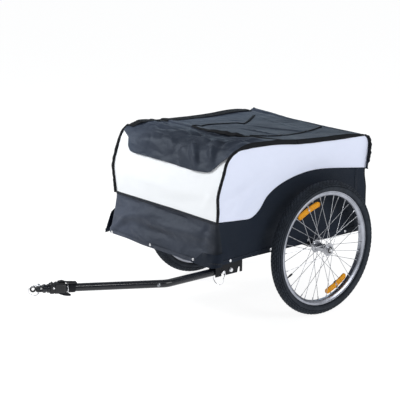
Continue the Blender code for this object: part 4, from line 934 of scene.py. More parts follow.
def front_black(u, v):
    """The front lower panel, which flares to its hem and wraps round the corners."""
    z = FRONT_HEM + v * (FRONT_SEAM - GAP / 2 - FRONT_HEM)
    half = side_x(front_y(z), z)
    x, back, facing = wrapped(u, half, corner_radius(z, u - 0.5))
    calm = smooth_step((half - abs(x)) / 0.03) * inside(v, 7, 5)
    puff = relief(x, z, FRONT_FOLDS, FRONT_RIPPLES, FRONT_CREASES)
    deepest = -0.0015 - 0.012 * smooth_step((z - 0.04) / 0.03)
    point = Vector((x, front_y(z) + back + near_seam_shift(z) * smooth_step(x / half), z))
    point += Vector((facing[0], -facing[1], 0)) * max(puff, deepest) * calm
    point.z -= HEM_DROOP * smooth_step((x + 0.2) / 0.12) * smooth_step((half - x) / 0.06) * (1 - v) ** 3
    return point


def side_low_point(side, u, v):
    """A point of a side's lower panel between its corners' wraps. At the far front its hem is a flap."""
    start, end = SEAM_CORNER - FRONT_WALL, REAR_WALL - REAR_CORNER
    along = start + u * (end - start)
    z = SIDE_HEM + v * (side_seam_height(along) - GAP / 2 - SIDE_HEM)
    y = along + (front_y(z) + corner_radius(z, side) - start) * (1 - u)
    y += rear_back(z) * smooth_step((u - 0.86) / 0.14)
    aside = 0.0
    if side < 0:
        flap = smooth_step((FLAP_HEIGHT - z) / 0.02) * smooth_step(1 - u * 14)
        y -= 1.02 * corner_radius(z, side) * flap
        aside = FLAP_STAND_OFF * flap
        z -= FLAP_DROOP * flap * (1 - v)
    else:
        y += near_seam_shift(z) * smooth_step(1 - u * 5)
    calm = inside(u, 16, 16) * inside(v, 6, 5)
    puff = relief(y, z, SIDE_BLACK_FOLDS, SIDE_BLACK_RIPPLES)
    return Vector((side * (side_x(y, z) + puff * calm + aside), y, z))


def front_white(u, v):
    """The front upper panel: bulged over the hoops and taut between them."""
    point = front_rows[round(v * FRONT_WHITE_ROWS)]
    half = side_x(point.y, point.z) - UPPER_PANEL_INSET
    x = (2 * u - 1) * half
    calm = smooth_step((half - abs(x)) / 0.05) * inside(v, 5, 4)
    puff = relief(x, point.z, FRONT_WHITE_FOLDS, FRONT_WHITE_RIPPLES)
    ahead = near_seam_shift(point.z) * smooth_step(x / half)
    return Vector((x, point.y - puff * calm + ahead, point.z))


def side_lean(y, z):
    """How far the side's front end stands ahead of the shoulder's start at a height."""
    fade = smooth_step(1 - (y - top_line[0].y) / LEAN_LENGTH)
    return (wall_y(0, z) - top_line[0].y) * fade


def side_high_point(side, u, v):
    """A point of a side's upper panel, from the colour seam to the tub's top edge."""
    point = top_line[round(u * SIDE_COLUMNS)]
    low = side_seam_height(point.y + side_lean(point.y, FRONT_SEAM)) + GAP / 2
    z = low + v * (point.z - low)
    y = point.y + side_lean(point.y, z) + 0.005 * bump(z, 0.31, 0.04) * smooth_step((u - 0.93) / 0.07)
    if side > 0:
        y += near_seam_shift(z) * smooth_step(1 - u * 6)
    calm = inside(u, 12, 14) * inside(v, 5, 5)
    puff = relief(y, z, SIDE_WHITE_FOLDS, SIDE_WHITE_RIPPLES)
    lift = panel_lift(side, top_line, round(u * SIDE_COLUMNS), z)
    return Vector((side * (side_x(y, z) + puff * calm), y, z)) + lift


def rear_back(z):
    """How far the rear lower panel stands behind the wall's line at a height."""
    return 0.011 * smooth_step((0.235 - z) / 0.07) - 0.006 * smooth_step((0.06 - z) / 0.06)


def rear_black(u, v):
    """The rear lower panel, which wraps round the rear corners."""
    z = REAR_HEM + v * (REAR_SEAM - GAP / 2 - REAR_HEM)
    x, back, facing = wrapped(u, side_x(0, z), REAR_CORNER)
    calm = smooth_step((0.28 - abs(x)) / 0.04) * inside(v, 6, 6)
    puff = relief(x, z, (), REAR_RIPPLES, REAR_PANEL_CREASES) * calm
    y = REAR_WALL + rear_back(z) - back - 0.0012
    return Vector((x + facing[0] * puff, y + facing[1] * puff, z))


def rear_white(u, v):
    """The rear upper panel, under the cover's rear drop."""
    point = rear_rows[round(v * REAR_WHITE_ROWS)]
    half = side_x(0, point.z) - UPPER_PANEL_INSET
    return Vector(((2 * u - 1) * half, point.y - 0.0006, point.z))


front_rows = even([Vector((0, p.y, p.z)) for p in front_wall_line(0)] + front_arc(0)[1:], FRONT_WHITE_ROWS)
rear_rows = even(rear_arc(0) + [Vector((0, REAR_WALL, REAR_SEAM + GAP / 2))], REAR_WHITE_ROWS)
top_line = even(front_arc(0) + rear_arc(0), SIDE_COLUMNS)

cloth("front_lower_cloth", front_black, (FRONT_COLUMNS, 26), (0, -1, 0), black_front,
      ["front_lower_panel"])
cloth("front_upper_cloth", front_white, (72, FRONT_WHITE_ROWS), (0, -1, 0), white_front,
      ["front_upper_panel"])
cloth("rear_lower_cloth", rear_black, (60, 22), (0, 1, 0), black_side,
      ["rear_lower_panel"])
cloth("rear_upper_cloth", rear_white, (40, REAR_WHITE_ROWS), (0, 1, 0), white_front,
      ["rear_upper_panel"])
for side_name, side in SIDES:
    cloth(side_name + "_lower_cloth", lambda u, v: side_low_point(side, u, v), (96, 22), (side, 0, 0),
          black_side,
          [side_name + "_lower_panel"])
    cloth(side_name + "_upper_cloth", lambda u, v: side_high_point(side, u, v), (SIDE_COLUMNS, 20),
          (side, 0, 0), white_side_shaded,
          [side_name + "_upper_panel"])

floor_low, floor_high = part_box("floor_panel")
floor_low, floor_high = Vector(floor_low) - AXLE, Vector(floor_high) - AXLE


def floor_point(u, v):
    """The floor cloth, taut over the rails with faint waves."""
    x = floor_low.x + u * (floor_high.x - floor_low.x)
    y = floor_low.y + v * (floor_high.y - floor_low.y)
    calm = inside(u, 8, 8) * inside(v, 9, 9)
    return Vector((x, y, floor_high.z - 0.0006 + relief(x, y, (), FLOOR_RIPPLES) * calm))


cloth("floor_cloth", floor_point, (40, 48), (0, 0, 1), black_top,
      ["floor_panel"])


# Bindings, hems, stitches and press studs

BINDING_THICK = 0.003
PIPING_RADIUS = 0.0062
PIPING_COLUMNS = 46
PIPING_SHARES = {1: 0.88, -1: 1.08}
PIPING_KINK = 0.0014
PIPING_UNEVENNESS = 0.1
SEAM_TAPE_SHARE = 0.965
SEAM_TAPE_WIDTH = 0.01
TURN_UP_WIDTH = 0.014
TURN_UP_THICK = 0.0022
FRONT_TURN_UP_SHARE = 0.045
SIDE_TURN_UP_SHARE = 0.05
REAR_TURN_UP_HEIGHT = 0.0135
SIDE_PATH_COLUMNS = 80
SIDE_STRIP_PLACE = 0.222
SIDE_STRIP_TOP = 0.253
SIDE_STRIP_WIDTH = 0.013
SIDE_STRIP_STITCHES = 0.0045
HEM_STITCHES = 0.005
REAR_EDGE_TOP = 0.335
REAR_EDGE_RADIUS = 0.0028


def front_path(v):
    """Points and facings along the front lower panel, at a share of its height."""
    line, outs = [], []
    height = FRONT_HEM + v * (FRONT_SEAM - FRONT_HEM)
    half = side_x(front_y(height), height)
    for k in range(FRONT_COLUMNS + 1):
        share = k / FRONT_COLUMNS
        facing = wrapped(share, half, corner_radius(height, share - 0.5))[2]
        out = Vector((facing[0], -facing[1], 0))
        line.append(front_black(share, v) + out * 0.0004)
        outs.append(out)
    return line, outs


def side_path(side, v):
    """Points and facings along a side's lower panel, at a share of its height."""
    out = Vector((side, 0, 0))
    line = [side_low_point(side, k / SIDE_PATH_COLUMNS, v) + out * 0.0003
            for k in range(SIDE_PATH_COLUMNS + 1)]
    return line, [out] * len(line)


def shifted(line, y, z):
    """A line of points moved along Y and Z."""
    return [point + Vector((0, y, z)) for point in line]


tape, thread, front_turn_up, side_turn_up = Shape(), Shape(), Shape(), Shape()
line, outs = front_path(SEAM_TAPE_SHARE)
seam_strip = Shape().ribbon(line, outs, SEAM_TAPE_WIDTH, BINDING_THICK)
add_piece("front_seam_tape", seam_strip, seam_tape, "frame")
add_stitches(thread, shifted(line, 0, -0.002), outs, BINDING_THICK / 2)
line, outs = front_path(FRONT_TURN_UP_SHARE)
front_turn_up.ribbon(line, outs, TURN_UP_WIDTH, TURN_UP_THICK)
add_stitches(thread, shifted(line, 0, HEM_STITCHES), outs, TURN_UP_THICK / 2)
for side in (1, -1):
    out = Vector((side, 0, 0))
    line, outs = side_path(side, SIDE_TURN_UP_SHARE)
    side_turn_up.ribbon(line, outs, TURN_UP_WIDTH, TURN_UP_THICK)
    add_stitches(thread, shifted(line, 0, HEM_STITCHES), outs, TURN_UP_THICK / 2)
    line = [Vector((side * (side_x(SIDE_STRIP_PLACE, z) + 0.0004), SIDE_STRIP_PLACE, z))
            for z in spread(SIDE_HEM, SIDE_STRIP_TOP, 30)]
    outs = [out] * len(line)
    side_turn_up.ribbon(line, outs, SIDE_STRIP_WIDTH, TURN_UP_THICK)
    for shift in (-SIDE_STRIP_STITCHES, SIDE_STRIP_STITCHES):
        add_stitches(thread, shifted(line, shift, 0), outs, TURN_UP_THICK / 2)
    line = [Vector((side * (side_x(0, z) - 0.0026), REAR_WALL + rear_back(z) - 0.0034, z))
            for z in spread(REAR_HEM, REAR_EDGE_TOP, 40)]
    tape.tube(line, REAR_EDGE_RADIUS)
line, outs = [], []
for share in spread(0, 1, 40):
    x, back, facing = wrapped(share, side_x(0, REAR_TURN_UP_HEIGHT), REAR_CORNER)
    line.append(Vector((x, REAR_WALL + rear_back(REAR_TURN_UP_HEIGHT) - back, REAR_TURN_UP_HEIGHT)))
    outs.append(Vector((*facing, 0)))
tape.ribbon(line, outs, TURN_UP_WIDTH, TURN_UP_THICK)
add_piece("tub_bindings", tape, binding, "frame")
add_piece("front_turn_ups", front_turn_up, black_front, "frame")
add_piece("side_turn_ups", side_turn_up, black_side, "frame")
add_piece("tub_stitches", thread, stitch_dark, "frame")

piping = Shape()
for side in (1, -1):
    wall = front_wall_line(0)
    line = even([wall[0] + Vector((0, 0, -0.004))] + wall[1:] + front_arc(0)[1:15], PIPING_COLUMNS)
    path, radii = [], []
    for k, point in enumerate(line):
        kink = PIPING_KINK * noise.noise(Vector((k * 0.37, side * 3.0, 1.3)))
        ahead = near_seam_shift(point.z) if side > 0 else 0.0
        x = side * (side_x(point.y, point.z) + kink)
        path.append(Vector((x, point.y - kink + ahead, point.z)) + panel_lift(side, line, k, point.z))
        uneven = 1 + PIPING_UNEVENNESS * noise.noise(Vector((k * 0.6, side * 5.0, 7.3)))
        radii.append(PIPING_RADIUS * PIPING_SHARES[side] * uneven)
    piping.tube(path, radii)
add_piece("corner_piping", piping, binding, "frame")

white_thread = Shape()
for side in (1, -1):
    line = [side_high_point(side, k / SIDE_COLUMNS, 0.0) + Vector((side * 0.0002, 0, 0.0035))
            for k in range(2, SIDE_COLUMNS - 1)]
    add_stitches(white_thread, line, [Vector((side, 0, 0))] * len(line), 0.0001)
add_piece("seam_stitches", white_thread, stitch_light, "frame")

STUD_RADIUS = 0.0052
STUD_OUTLINE = ((-0.001, 0), (-0.001, 1), (0.0004, 1.02), (0.0011, 0.93), (0.0012, 0.8), (0.001, 0.72),
                (0.0018, 0.45), (0.0021, 0))
FRONT_STUD_HEIGHT = 0.0115
SIDE_STUD_HEIGHT = 0.021
FRONT_STUDS = (-0.271, -0.0475, 0.191)
SIDE_STUDS = (-0.413, -0.207, -0.021, 0.17)
REAR_STUDS = (-0.22, 0.0, 0.22)


def add_stud(shape, centre, out):
    """Add a domed press stud with a rolled rim."""
    dome = Shape().turned([(height, share * STUD_RADIUS) for height, share in STUD_OUTLINE], 24, "Z")
    turn = Vector(out).to_track_quat("Z", "Y").to_matrix().to_4x4()
    shape.join(dome, Matrix.Translation(centre) @ turn)


PATCH_START = 0.181
PATCH_TOP = 0.053
PATCH_DROP = 0.005
PATCH_GAPE = 0.011


def patch_point(u, v):
    """The doubled hem at the near front corner, whose top edge stands off the panel."""
    half = side_x(front_y(0.02), 0.02)
    reach = half - HEM_CORNER + HEM_CORNER * math.pi / 2
    share = PATCH_START + u * (reach - PATCH_START)
    x, back, facing = wrapped(0.5 + 0.5 * share / reach, half, HEM_CORNER)
    top = FRONT_HEM + (PATCH_TOP - FRONT_HEM) * (0.12 + 0.88 * smooth_step(u * 2.2))
    z = FRONT_HEM - PATCH_DROP * smooth_step((1 - u) * 4) + v * (top - FRONT_HEM)
    off = 0.0012 + 0.001 * smooth_step(u * 6) + PATCH_GAPE * v ** 3 * bump(u, 0.52, 0.13)
    return Vector((x, front_y(z) + back, z)) + Vector((facing[0], -facing[1], 0)) * off


cloth("near_corner_hem_patch", patch_point, (48, 10), (0.3, -1, 0), black_side)

studs = Shape()
for x in FRONT_STUDS:
    add_stud(studs, (x, front_y(FRONT_STUD_HEIGHT) - 0.0018, FRONT_STUD_HEIGHT), (0, -1, 0.1))
for y in SIDE_STUDS:
    for side in (1, -1):
        add_stud(studs, (side * (side_x(y, SIDE_STUD_HEIGHT) + 0.0014), y, SIDE_STUD_HEIGHT), (side, 0, 0))
for x in REAR_STUDS:
    y = REAR_WALL + rear_back(REAR_TURN_UP_HEIGHT) + 0.0014
    add_stud(studs, (x, y, REAR_TURN_UP_HEIGHT), (0, 1, 0))
add_piece("press_studs", studs, zinc, "frame")


# Cover

COVER_OUT = GAP + CLOTH
HINGE_STEP = 0.6
APRON_LEFT = -0.225
APRON_RIGHT = 0.228
APRON_ROUND = 0.026
APRON_NEAR_ROUND = 0.012
APRON_FULL_RUN = 0.015
COVER_ROWS = 132
REAR_ROWS = 60
DROP_ROWS = 48
DROP_COLUMNS = 96
DROP_OVERLAP = 0.008
FLAP_HILL_X = 0.075
FLAP_HILL_WIDTH = 0.085
FLAP_HILL_HEIGHT = 0.0075
FLAP_VALLEY_DEPTH = 0.006
FLAP_EDGE_RISE = 0.005
FLAP_RUN = 0.05
LOOSE_LIFT = 0.004
DROP_WAVE = 0.0014
DROP_HEM_WAVE = 0.003

# Folds, ripples and creases of the cover's loose front half, in the same order of numbers as the tub's
COVER_FOLDS = ((0.02, -0.15, 4, 0.46, 0.024, 0.007), (-0.1, -0.205, -14, 0.3, 0.018, 0.01),
               (0.09, -0.262, 12, 0.26, 0.017, 0.0075), (-0.06, -0.31, 6, 0.34, 0.018, 0.009),
               (0.205, -0.3, 62, 0.16, 0.016, 0.014), (0.16, -0.335, 48, 0.14, 0.014, -0.008),
               (0.24, -0.345, 70, 0.12, 0.013, 0.011), (0.05, -0.35, -5, 0.3, 0.016, 0.0085),
               (-0.21, -0.285, -52, 0.14, 0.016, 0.008), (0.11, -0.2, 28, 0.2, 0.014, -0.008),
               (-0.02, -0.265, -24, 0.22, 0.014, -0.008), (-0.18, -0.36, -20, 0.16, 0.014, 0.007))
COVER_RIPPLES = ((12, 3.0, 0.0075), (23, 5.0, 0.004))
COVER_CREASES = ((9, 0.15, 2.0, -0.005), (13, 0.95, 6.0, -0.0038), (21, 0.5, 11.0, -0.0022))

# The apron's, at x and the distance below the hinge
APRON_FOLDS = ((0.205, 0.02, 58, 0.1, 0.014, 0.0117), (0.158, 0.03, 72, 0.09, 0.012, -0.00975),
               (0.11, 0.026, 40, 0.13, 0.014, 0.00975), (0.02, 0.03, 14, 0.18, 0.016, 0.00585),
               (-0.12, 0.035, -12, 0.16, 0.016, 0.0052), (0.06, 0.01, -35, 0.1, 0.012, -0.0065))
APRON_RIPPLES = ((17, 8.0, 0.0052),)
APRON_CREASES = ((11, 0.7, 21.0, -0.004), (19, 0.35, 31.0, -0.0024))
APRON_HEM_HILLS = ((0.23, 0.04, 0.004), (0.13, 0.09, -0.005))

# The flap's bound edges on the top, as (x, y)
FLAP_FRONT = ((-0.121, -0.222), (-0.035, -0.236), (0.011, -0.233), (0.064, -0.223), (0.103, -0.203),
              (0.124, -0.175), (0.148, -0.155), (0.182, -0.149), (0.217, -0.147), (0.292, -0.142))
FLAP_TIP = ((-0.121, -0.222), (-0.116, -0.19), (-0.13, -0.14), (-0.122, -0.1012))
FLAP_CORNER = ((0.112, -0.15), (0.134, -0.122), (0.152, -0.1012))
FLAP_REAR_INNER = ((-0.121, -0.0988), (-0.118, -0.05), (-0.117, -0.01), (-0.095, 0.01))
FLAP_NEAR = ((0.153, -0.0988), (0.163, -0.07), (0.164, -0.02), (0.153, 0.028), (0.145, 0.079),
             (0.132, 0.135), (0.104, 0.222))
FLAP_FAR = ((-0.095, 0.01), (-0.126, 0.059), (-0.167, 0.117), (-0.19, 0.15))

# The rear half's, where the folds are pressed creases, and the rear drop's
PRESSED_FOLDS = ((0.05, -0.066, 12.7, 0.28, 0.0062, 0.0052), (0.052, 0.062, 27.8, 0.27, 0.0062, 0.0046),
                 (-0.19, -0.02, 62.0, 0.2, 0.0078, 0.0028), (-0.06, 0.15, -8.0, 0.3, 0.0078, 0.0022),
                 (0.215, 0.06, 74.0, 0.24, 0.009, 0.0016))
PRESSED_RIPPLES = ((16, 5.0, 0.0012),)
PRESSED_CREASES = ((13, 1.35, 14.0, 0.0012),)
DROP_RIPPLES = ((40, 12.0, 0.0018),)


def flap_front(x):
    """How far along the trailer the flap's front edge lies at a place across it."""
    for before, after in zip(FLAP_FRONT, FLAP_FRONT[1:]):
        if x <= after[0]:
            break
    share = max(0.0, min(1.0, (x - before[0]) / (after[0] - before[0])))
    return before[1] + share * (after[1] - before[1])


def front_rise(x, y, share):
    """How far the cover's loose front half stands off a straight run, at a share of the way to its fold."""
    rim = smooth_step((FULL - abs(x)) / 0.03)
    ends = inside(share * 1.3 + 0.06, 9, 10)
    ahead = flap_front(x) - y
    loose = smooth_step((ahead - 0.01) / FLAP_RUN)
    rise = relief(x, y, COVER_FOLDS) * (0.12 + 0.88 * loose)
    rise += loose * (LOOSE_LIFT + relief(x, y, (), COVER_RIPPLES, COVER_CREASES))
    hill = bump(x, FLAP_HILL_X, FLAP_HILL_WIDTH)
    edge = FLAP_EDGE_RISE + FLAP_HILL_HEIGHT * hill
    rise += edge * smooth_step(1 + ahead / FLAP_RUN) * smooth_step(1 - ahead / 0.006)
    rise -= FLAP_VALLEY_DEPTH * hill * bump(ahead, 0.04, 0.03)
    return max(-0.001 - 0.0075 * smooth_step((y + 0.35) / 0.03), rise) * rim * ends


def rear_rise(x, y):
    """The rear half of the cover: taut, a little hollow and faintly rippled."""
    share = (y - COVER_FOLD) / (REAR_WALL - COVER_FOLD)
    across = max(0.0, 1 - (x / FULL) ** 2)
    sag = -COVER_SAG * across * math.sin(math.pi * min(1.0, max(0.0, share)))
    ends = inside(share, 9, 9)
    return sag + relief(x, y, PRESSED_FOLDS, PRESSED_RIPPLES, PRESSED_CREASES) * ends * across


hinge_arc = front_arc(-COVER_OUT)
hinge = hinge_arc[round(HINGE_STEP * SHOULDER_STEPS)]
fold_end = Vector((0, COVER_FOLD - GAP, top_height(COVER_FOLD - GAP) + COVER_OUT))
apron_start = Vector((0, wall_y(-COVER_OUT, APRON_HEM), APRON_HEM))
wall_top = [p for p in front_wall_line(-COVER_OUT) if p.z > APRON_HEM + 0.002]
cover_line = even([apron_start] + wall_top + hinge_arc + [fold_end], COVER_ROWS)
hinge_row = min(range(COVER_ROWS + 1), key=lambda k: (cover_line[k] - hinge).length)


def cover_front_point(u, v):
    """The front half of the cover and its apron, as one cloth."""
    row = round(v * COVER_ROWS)
    point = cover_line[row]
    below = line_length(cover_line[row:hinge_row + 1])
    reach = line_length(cover_line[:hinge_row + 1])
    left, right = -FULL, FULL
    if row < hinge_row:
        share = below / reach
        taper = max(0.0, (below - APRON_FULL_RUN) / (reach - APRON_FULL_RUN))
        left = -FULL + (FULL + APRON_LEFT) * (0.45 * taper + 0.55 * smooth_step(taper / 0.45))
        right = FULL + (APRON_RIGHT - FULL) * taper
        near_hem = reach - below
        if near_hem < APRON_ROUND:
            left += APRON_ROUND - math.sqrt(APRON_ROUND ** 2 - (APRON_ROUND - near_hem) ** 2)
        if near_hem < APRON_NEAR_ROUND:
            right -= APRON_NEAR_ROUND - math.sqrt(APRON_NEAR_ROUND ** 2 - (APRON_NEAR_ROUND - near_hem) ** 2)
    x = left + u * (right - left)
    out = out_of(cover_line, row)
    if row >= hinge_row:
        share = (row - hinge_row) / (COVER_ROWS - hinge_row)
        rise = front_rise(x, point.y, share) + edge_lift(x, point.y)
    else:
        share = below / reach
        rim = smooth_step((x - left) / 0.03) * smooth_step((right - x) / 0.02)
        ridge = 0.0028 + relief(x, below, APRON_FOLDS, APRON_RIPPLES, APRON_CREASES)
        rise = max(-0.0002, ridge) * rim + 0.0012 + 0.003 * math.sin(math.pi * share) * bump(x, 0.16, 0.1)
        rise += front_rise(x, point.y, 0) * (1 - share) + edge_lift(x, hinge.y) * (1 - share) ** 2
        point = point + Vector((0, 0, share ** 2 * hills(APRON_HEM_HILLS, x)))
    return Vector((x, point.y, point.z)) + out * rise


front_cover = cloth("cover_front_cloth", cover_front_point, (130, COVER_ROWS), (0, -0.6, 1), black_top,
                    ["cover_front", "cover_front_drop"],
                    body=None)
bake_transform(front_cover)

rear_start = Vector((0, COVER_FOLD + GAP, top_height(COVER_FOLD + GAP) + COVER_OUT))
rear_line = even([rear_start, rear_arc(-COVER_OUT)[0]], REAR_ROWS)


def cover_rear_point(u, v):
    """The rear half of the cover."""
    point = rear_line[round(v * REAR_ROWS)]
    x = -FULL + 2 * FULL * u
    return Vector((x, point.y, point.z + rear_rise(x, point.y) + edge_lift(x, point.y)))


cloth("cover_rear_cloth", cover_rear_point, (90, REAR_ROWS), (0, 0, 1), black_top,
      ["cover_rear"])

drop_hem = Vector((0, REAR_WALL + COVER_OUT, REAR_DROP_HEM - DROP_OVERLAP))
drop_line = even(rear_arc(-COVER_OUT) + [drop_hem], DROP_ROWS)


def cover_drop_point(u, v):
    """The cover's rear drop, which stands off the rear wall and has a wavy hem."""
    row = round(v * DROP_ROWS)
    point = drop_line[row]
    x = -FULL + 2 * FULL * u
    amount = REAR_DROP_BULGE * math.sin(math.pi * v) ** 1.5 * (0.82 + 0.18 * math.cos(x * 34))
    amount += relief(x, point.z, (), DROP_RIPPLES) * smooth_step(v * 4)
    amount += DROP_WAVE * math.sin(point.z * 230 + 2 * x) * smooth_step(v * 3) * smooth_step((1 - v) * 5)
    amount += edge_lift(x, point.y) * smooth_step((point.z - 0.31) / 0.04)
    out = out_of(drop_line, row)
    return Vector((x, point.y, point.z + DROP_HEM_WAVE * (math.sin(x * 21) - 1) * v ** 3)) + out * amount


cloth("cover_rear_drop_cloth", cover_drop_point, (DROP_COLUMNS, DROP_ROWS), (0, 1, 0.3), black_top,
      ["cover_rear_drop"])


def top_surface(x, y):
    """A point on the cover's top, before the shoulders."""
    base = top_height(y) + COVER_OUT + edge_lift(x, y)
    if y < COVER_FOLD:
        rows = [k for k in range(hinge_row, COVER_ROWS) if cover_line[k].y <= y]
        row = max(rows) if rows else hinge_row
        share = (row - hinge_row) / (COVER_ROWS - hinge_row)
        return Vector((x, y, base + front_rise(x, y, share)))
    return Vector((x, y, base + rear_rise(x, y)))


def on_top(points, lift, count):
    """A smooth line that lies on the cover's top."""
    flat = smooth_curve([(x, y, 0) for x, y in points], count)
    return [top_surface(point.x, point.y) + Vector((0, 0, lift)) for point in flat]


FAR_STRIP_X = 0.022 - FULL
FAR_STRIP_WIDTH = 0.044
SHOULDER_STRIP_WIDTH = 0.036
SHOULDER_STRIP_END = -0.325
FAR_STRIP_FRONT = ((FAR_STRIP_X, -0.345), (FAR_STRIP_X, -0.23), (FAR_STRIP_X, -0.1012))
FAR_STRIP_REAR = ((FAR_STRIP_X, -0.0988), (FAR_STRIP_X, 0.06), (FAR_STRIP_X, 0.2))

front_tape, rear_tape = Shape(), Shape()
line = on_top(FLAP_FRONT, 0.0012, 60)
# The tape widens round x = 0.09: partly the flap's bound edge, partly a dark band of painted shadow under
# that edge.
widths = [0.008 + 0.011 * bump(point.x, 0.09, 0.085) for point in line]
line = [point + Vector((0, -0.002, -0.001)) for point in line]
front_tape.ribbon(line, [Vector((0, -0.5, 0.87))] * len(line), widths, BINDING_THICK)
for points, shape, wide in ((FLAP_TIP, front_tape, 0.0075), (FLAP_CORNER, front_tape, 0.007),
                            (FLAP_REAR_INNER, rear_tape, 0.007), (FLAP_NEAR, rear_tape, 0.007),
                            (FLAP_FAR, rear_tape, 0.008), (FAR_STRIP_FRONT, front_tape, FAR_STRIP_WIDTH),
                            (FAR_STRIP_REAR, rear_tape, FAR_STRIP_WIDTH)):
    line = on_top(points, 0.0018, 46)
    shape.ribbon(line, [Vector((0, 0, 1))] * len(line), wide, BINDING_THICK)

rows = [k for k in range(hinge_row + 1, COVER_ROWS) if cover_line[k].y < SHOULDER_STRIP_END]
outs = [out_of(cover_line, k) for k in rows]
line = [cover_front_point(0.032, k / COVER_ROWS) + out * 0.0016 for k, out in zip(rows, outs)]
front_tape.ribbon(line, outs, SHOULDER_STRIP_WIDTH, BINDING_THICK)


EDGE_TAPE_WIDTH = 0.0185
EDGE_TAPE_THICK = 0.004
EDGE_TAPE_SINK = {1: 0.0022, -1: 0.0046}
DROP_TAPE_RADIUS = 0.0048
DROP_TAPE_START = 4
DROP_TAPE_ASIDE = 0.0034
DROP_HEM_RADIUS = 0.002


def edge_ribbon(shape, side, first, last):
    """Add the bound edge of the cover along one side, from one place along the trailer to another."""
    line, outs, widths = [], [], []
    run = [p for p in shell_line(-COVER_OUT)[1:-1] if p.z > 0.3]
    run = even([p for p in even(run, 240) if first <= p.y <= last], 60)
    for k, place in enumerate(run):
        out = out_of(run, k)
        wave = 0.0008 * noise.noise(Vector((place.y * 26, side * 2.0, 4.0)))
        x = side * (FULL + 0.0012 + wave)
        point = Vector((x, place.y, place.z + edge_lift(side * FULL, place.y)))
        point -= out * EDGE_TAPE_SINK[side]
        line.append(point)
        outs.append(Vector((side * 0.86, 0, 0)) + out * 0.5)
        wide = EDGE_TAPE_WIDTH + 0.0015 * noise.noise(Vector((point.y * 15, side, 9.0)))
        wide *= 0.45 + 0.55 * smooth_step((point.y - hinge.y) / 0.06)
        widths.append(wide * (0.35 + 0.65 * smooth_step((REAR_WALL - 0.01 - point.y) / 0.12)))
    shape.ribbon(line, outs, widths, EDGE_TAPE_THICK, 14)


for side in (1, -1):
    edge_ribbon(front_tape, side, hinge.y - 0.001, COVER_FOLD - GAP)
    edge_ribbon(rear_tape, side, COVER_FOLD + GAP, REAR_WALL - REAR_SHOULDER + 0.012)
add_piece("cover_front_bindings", front_tape, binding, "front_cover")
add_piece("cover_rear_bindings", rear_tape, binding, "frame")

drop_tape = Shape()
for side in (1, -1):
    line, radii = [], []
    for k in range(DROP_ROWS + 1 - DROP_TAPE_START):
        point = cover_drop_point(0.5 + side * 0.5, (k + DROP_TAPE_START) / DROP_ROWS)
        line.append(point + Vector((side * DROP_TAPE_ASIDE, -0.002 - 0.005 * smooth_step((k - 26) / 18), 0)))
        uneven = DROP_TAPE_RADIUS + 0.0008 * math.sin(1.3 * k)
        radii.append(uneven - 0.0038 * smooth_step((k - 30) / 14) - 0.003 * smooth_step(1 - k / 8))
    drop_tape.tube(line, radii)
hem_line = [cover_drop_point(k / DROP_COLUMNS, 1.0) for k in range(DROP_COLUMNS + 1)]
drop_tape.tube(hem_line, DROP_HEM_RADIUS)
add_piece("cover_drop_bindings", drop_tape, binding, "frame")


# Wheels

TYRE_STEPS = 48
TYRE_START = -28
TYRE_SWEEP = 236
TYRE_INNER_STEPS = 8
TYRE_INNER_START = 200
TYRE_INNER_SWEEP = 220
TREAD_FIRST_STEP = 8
TREAD_LAST_STEP = 40
TREAD_PITCH = 4
WALL_RIB_STEPS = (3, 45)
WALL_RIB_HEIGHT = 0.0005
HUB_SIDES = 64
HUB_EDGE = 0.0008
RIM_SIDES = 144
RIM_EDGE = 0.0004
SEAL_SIDES = 40
SPOKE_SIDES = 8
NIPPLE_LENGTH = 0.012
NIPPLE_RADIUS = 0.0019
SPOKE_HEAD_RADIUS = 0.0018
CLIP_RADII = (0.0012, 0.0021, 0.0021, 0.0012)
CLIP_PLACES = (-0.007, -0.0025, 0.0025, 0.007)
RIVET_OUTLINE = ((-0.0006, 0.004), (0.0003, 0.004), (0.0008, 0.0028), (0.0009, 0.001))
PUSH_BUTTON_STEM = 0.0029
PUSH_BUTTON_OUTLINE = ((0, 0.0044), (0.0004, 0.0048), (0.0018, 0.0048), (0.0024, 0.0043), (0.0026, 0.003))

# The reflector's faces: depth, and how far in from the outline
REFLECTOR_LAYERS = ((0, 0.0035), (0.0009, 0.0028), (0.0001, 0.0022), (0, 0.0012), (0.0008, 0))
VALVE_TURNS = 12
VALVE_PITCH = 0.0009


def tread_depth(step, segment):
    """How deep the tread is cut at a step across the tyre and a segment round it."""
    if step < TREAD_FIRST_STEP or step > TREAD_LAST_STEP:
        return -WALL_RIB_HEIGHT if step in WALL_RIB_STEPS else 0.0
    row, place = divmod(step - TREAD_FIRST_STEP, TREAD_PITCH)
    if place == 0 or (segment + 2 * (row % 2)) % TREAD_PITCH == 0:
        return TREAD_DEPTH
    return 0.0


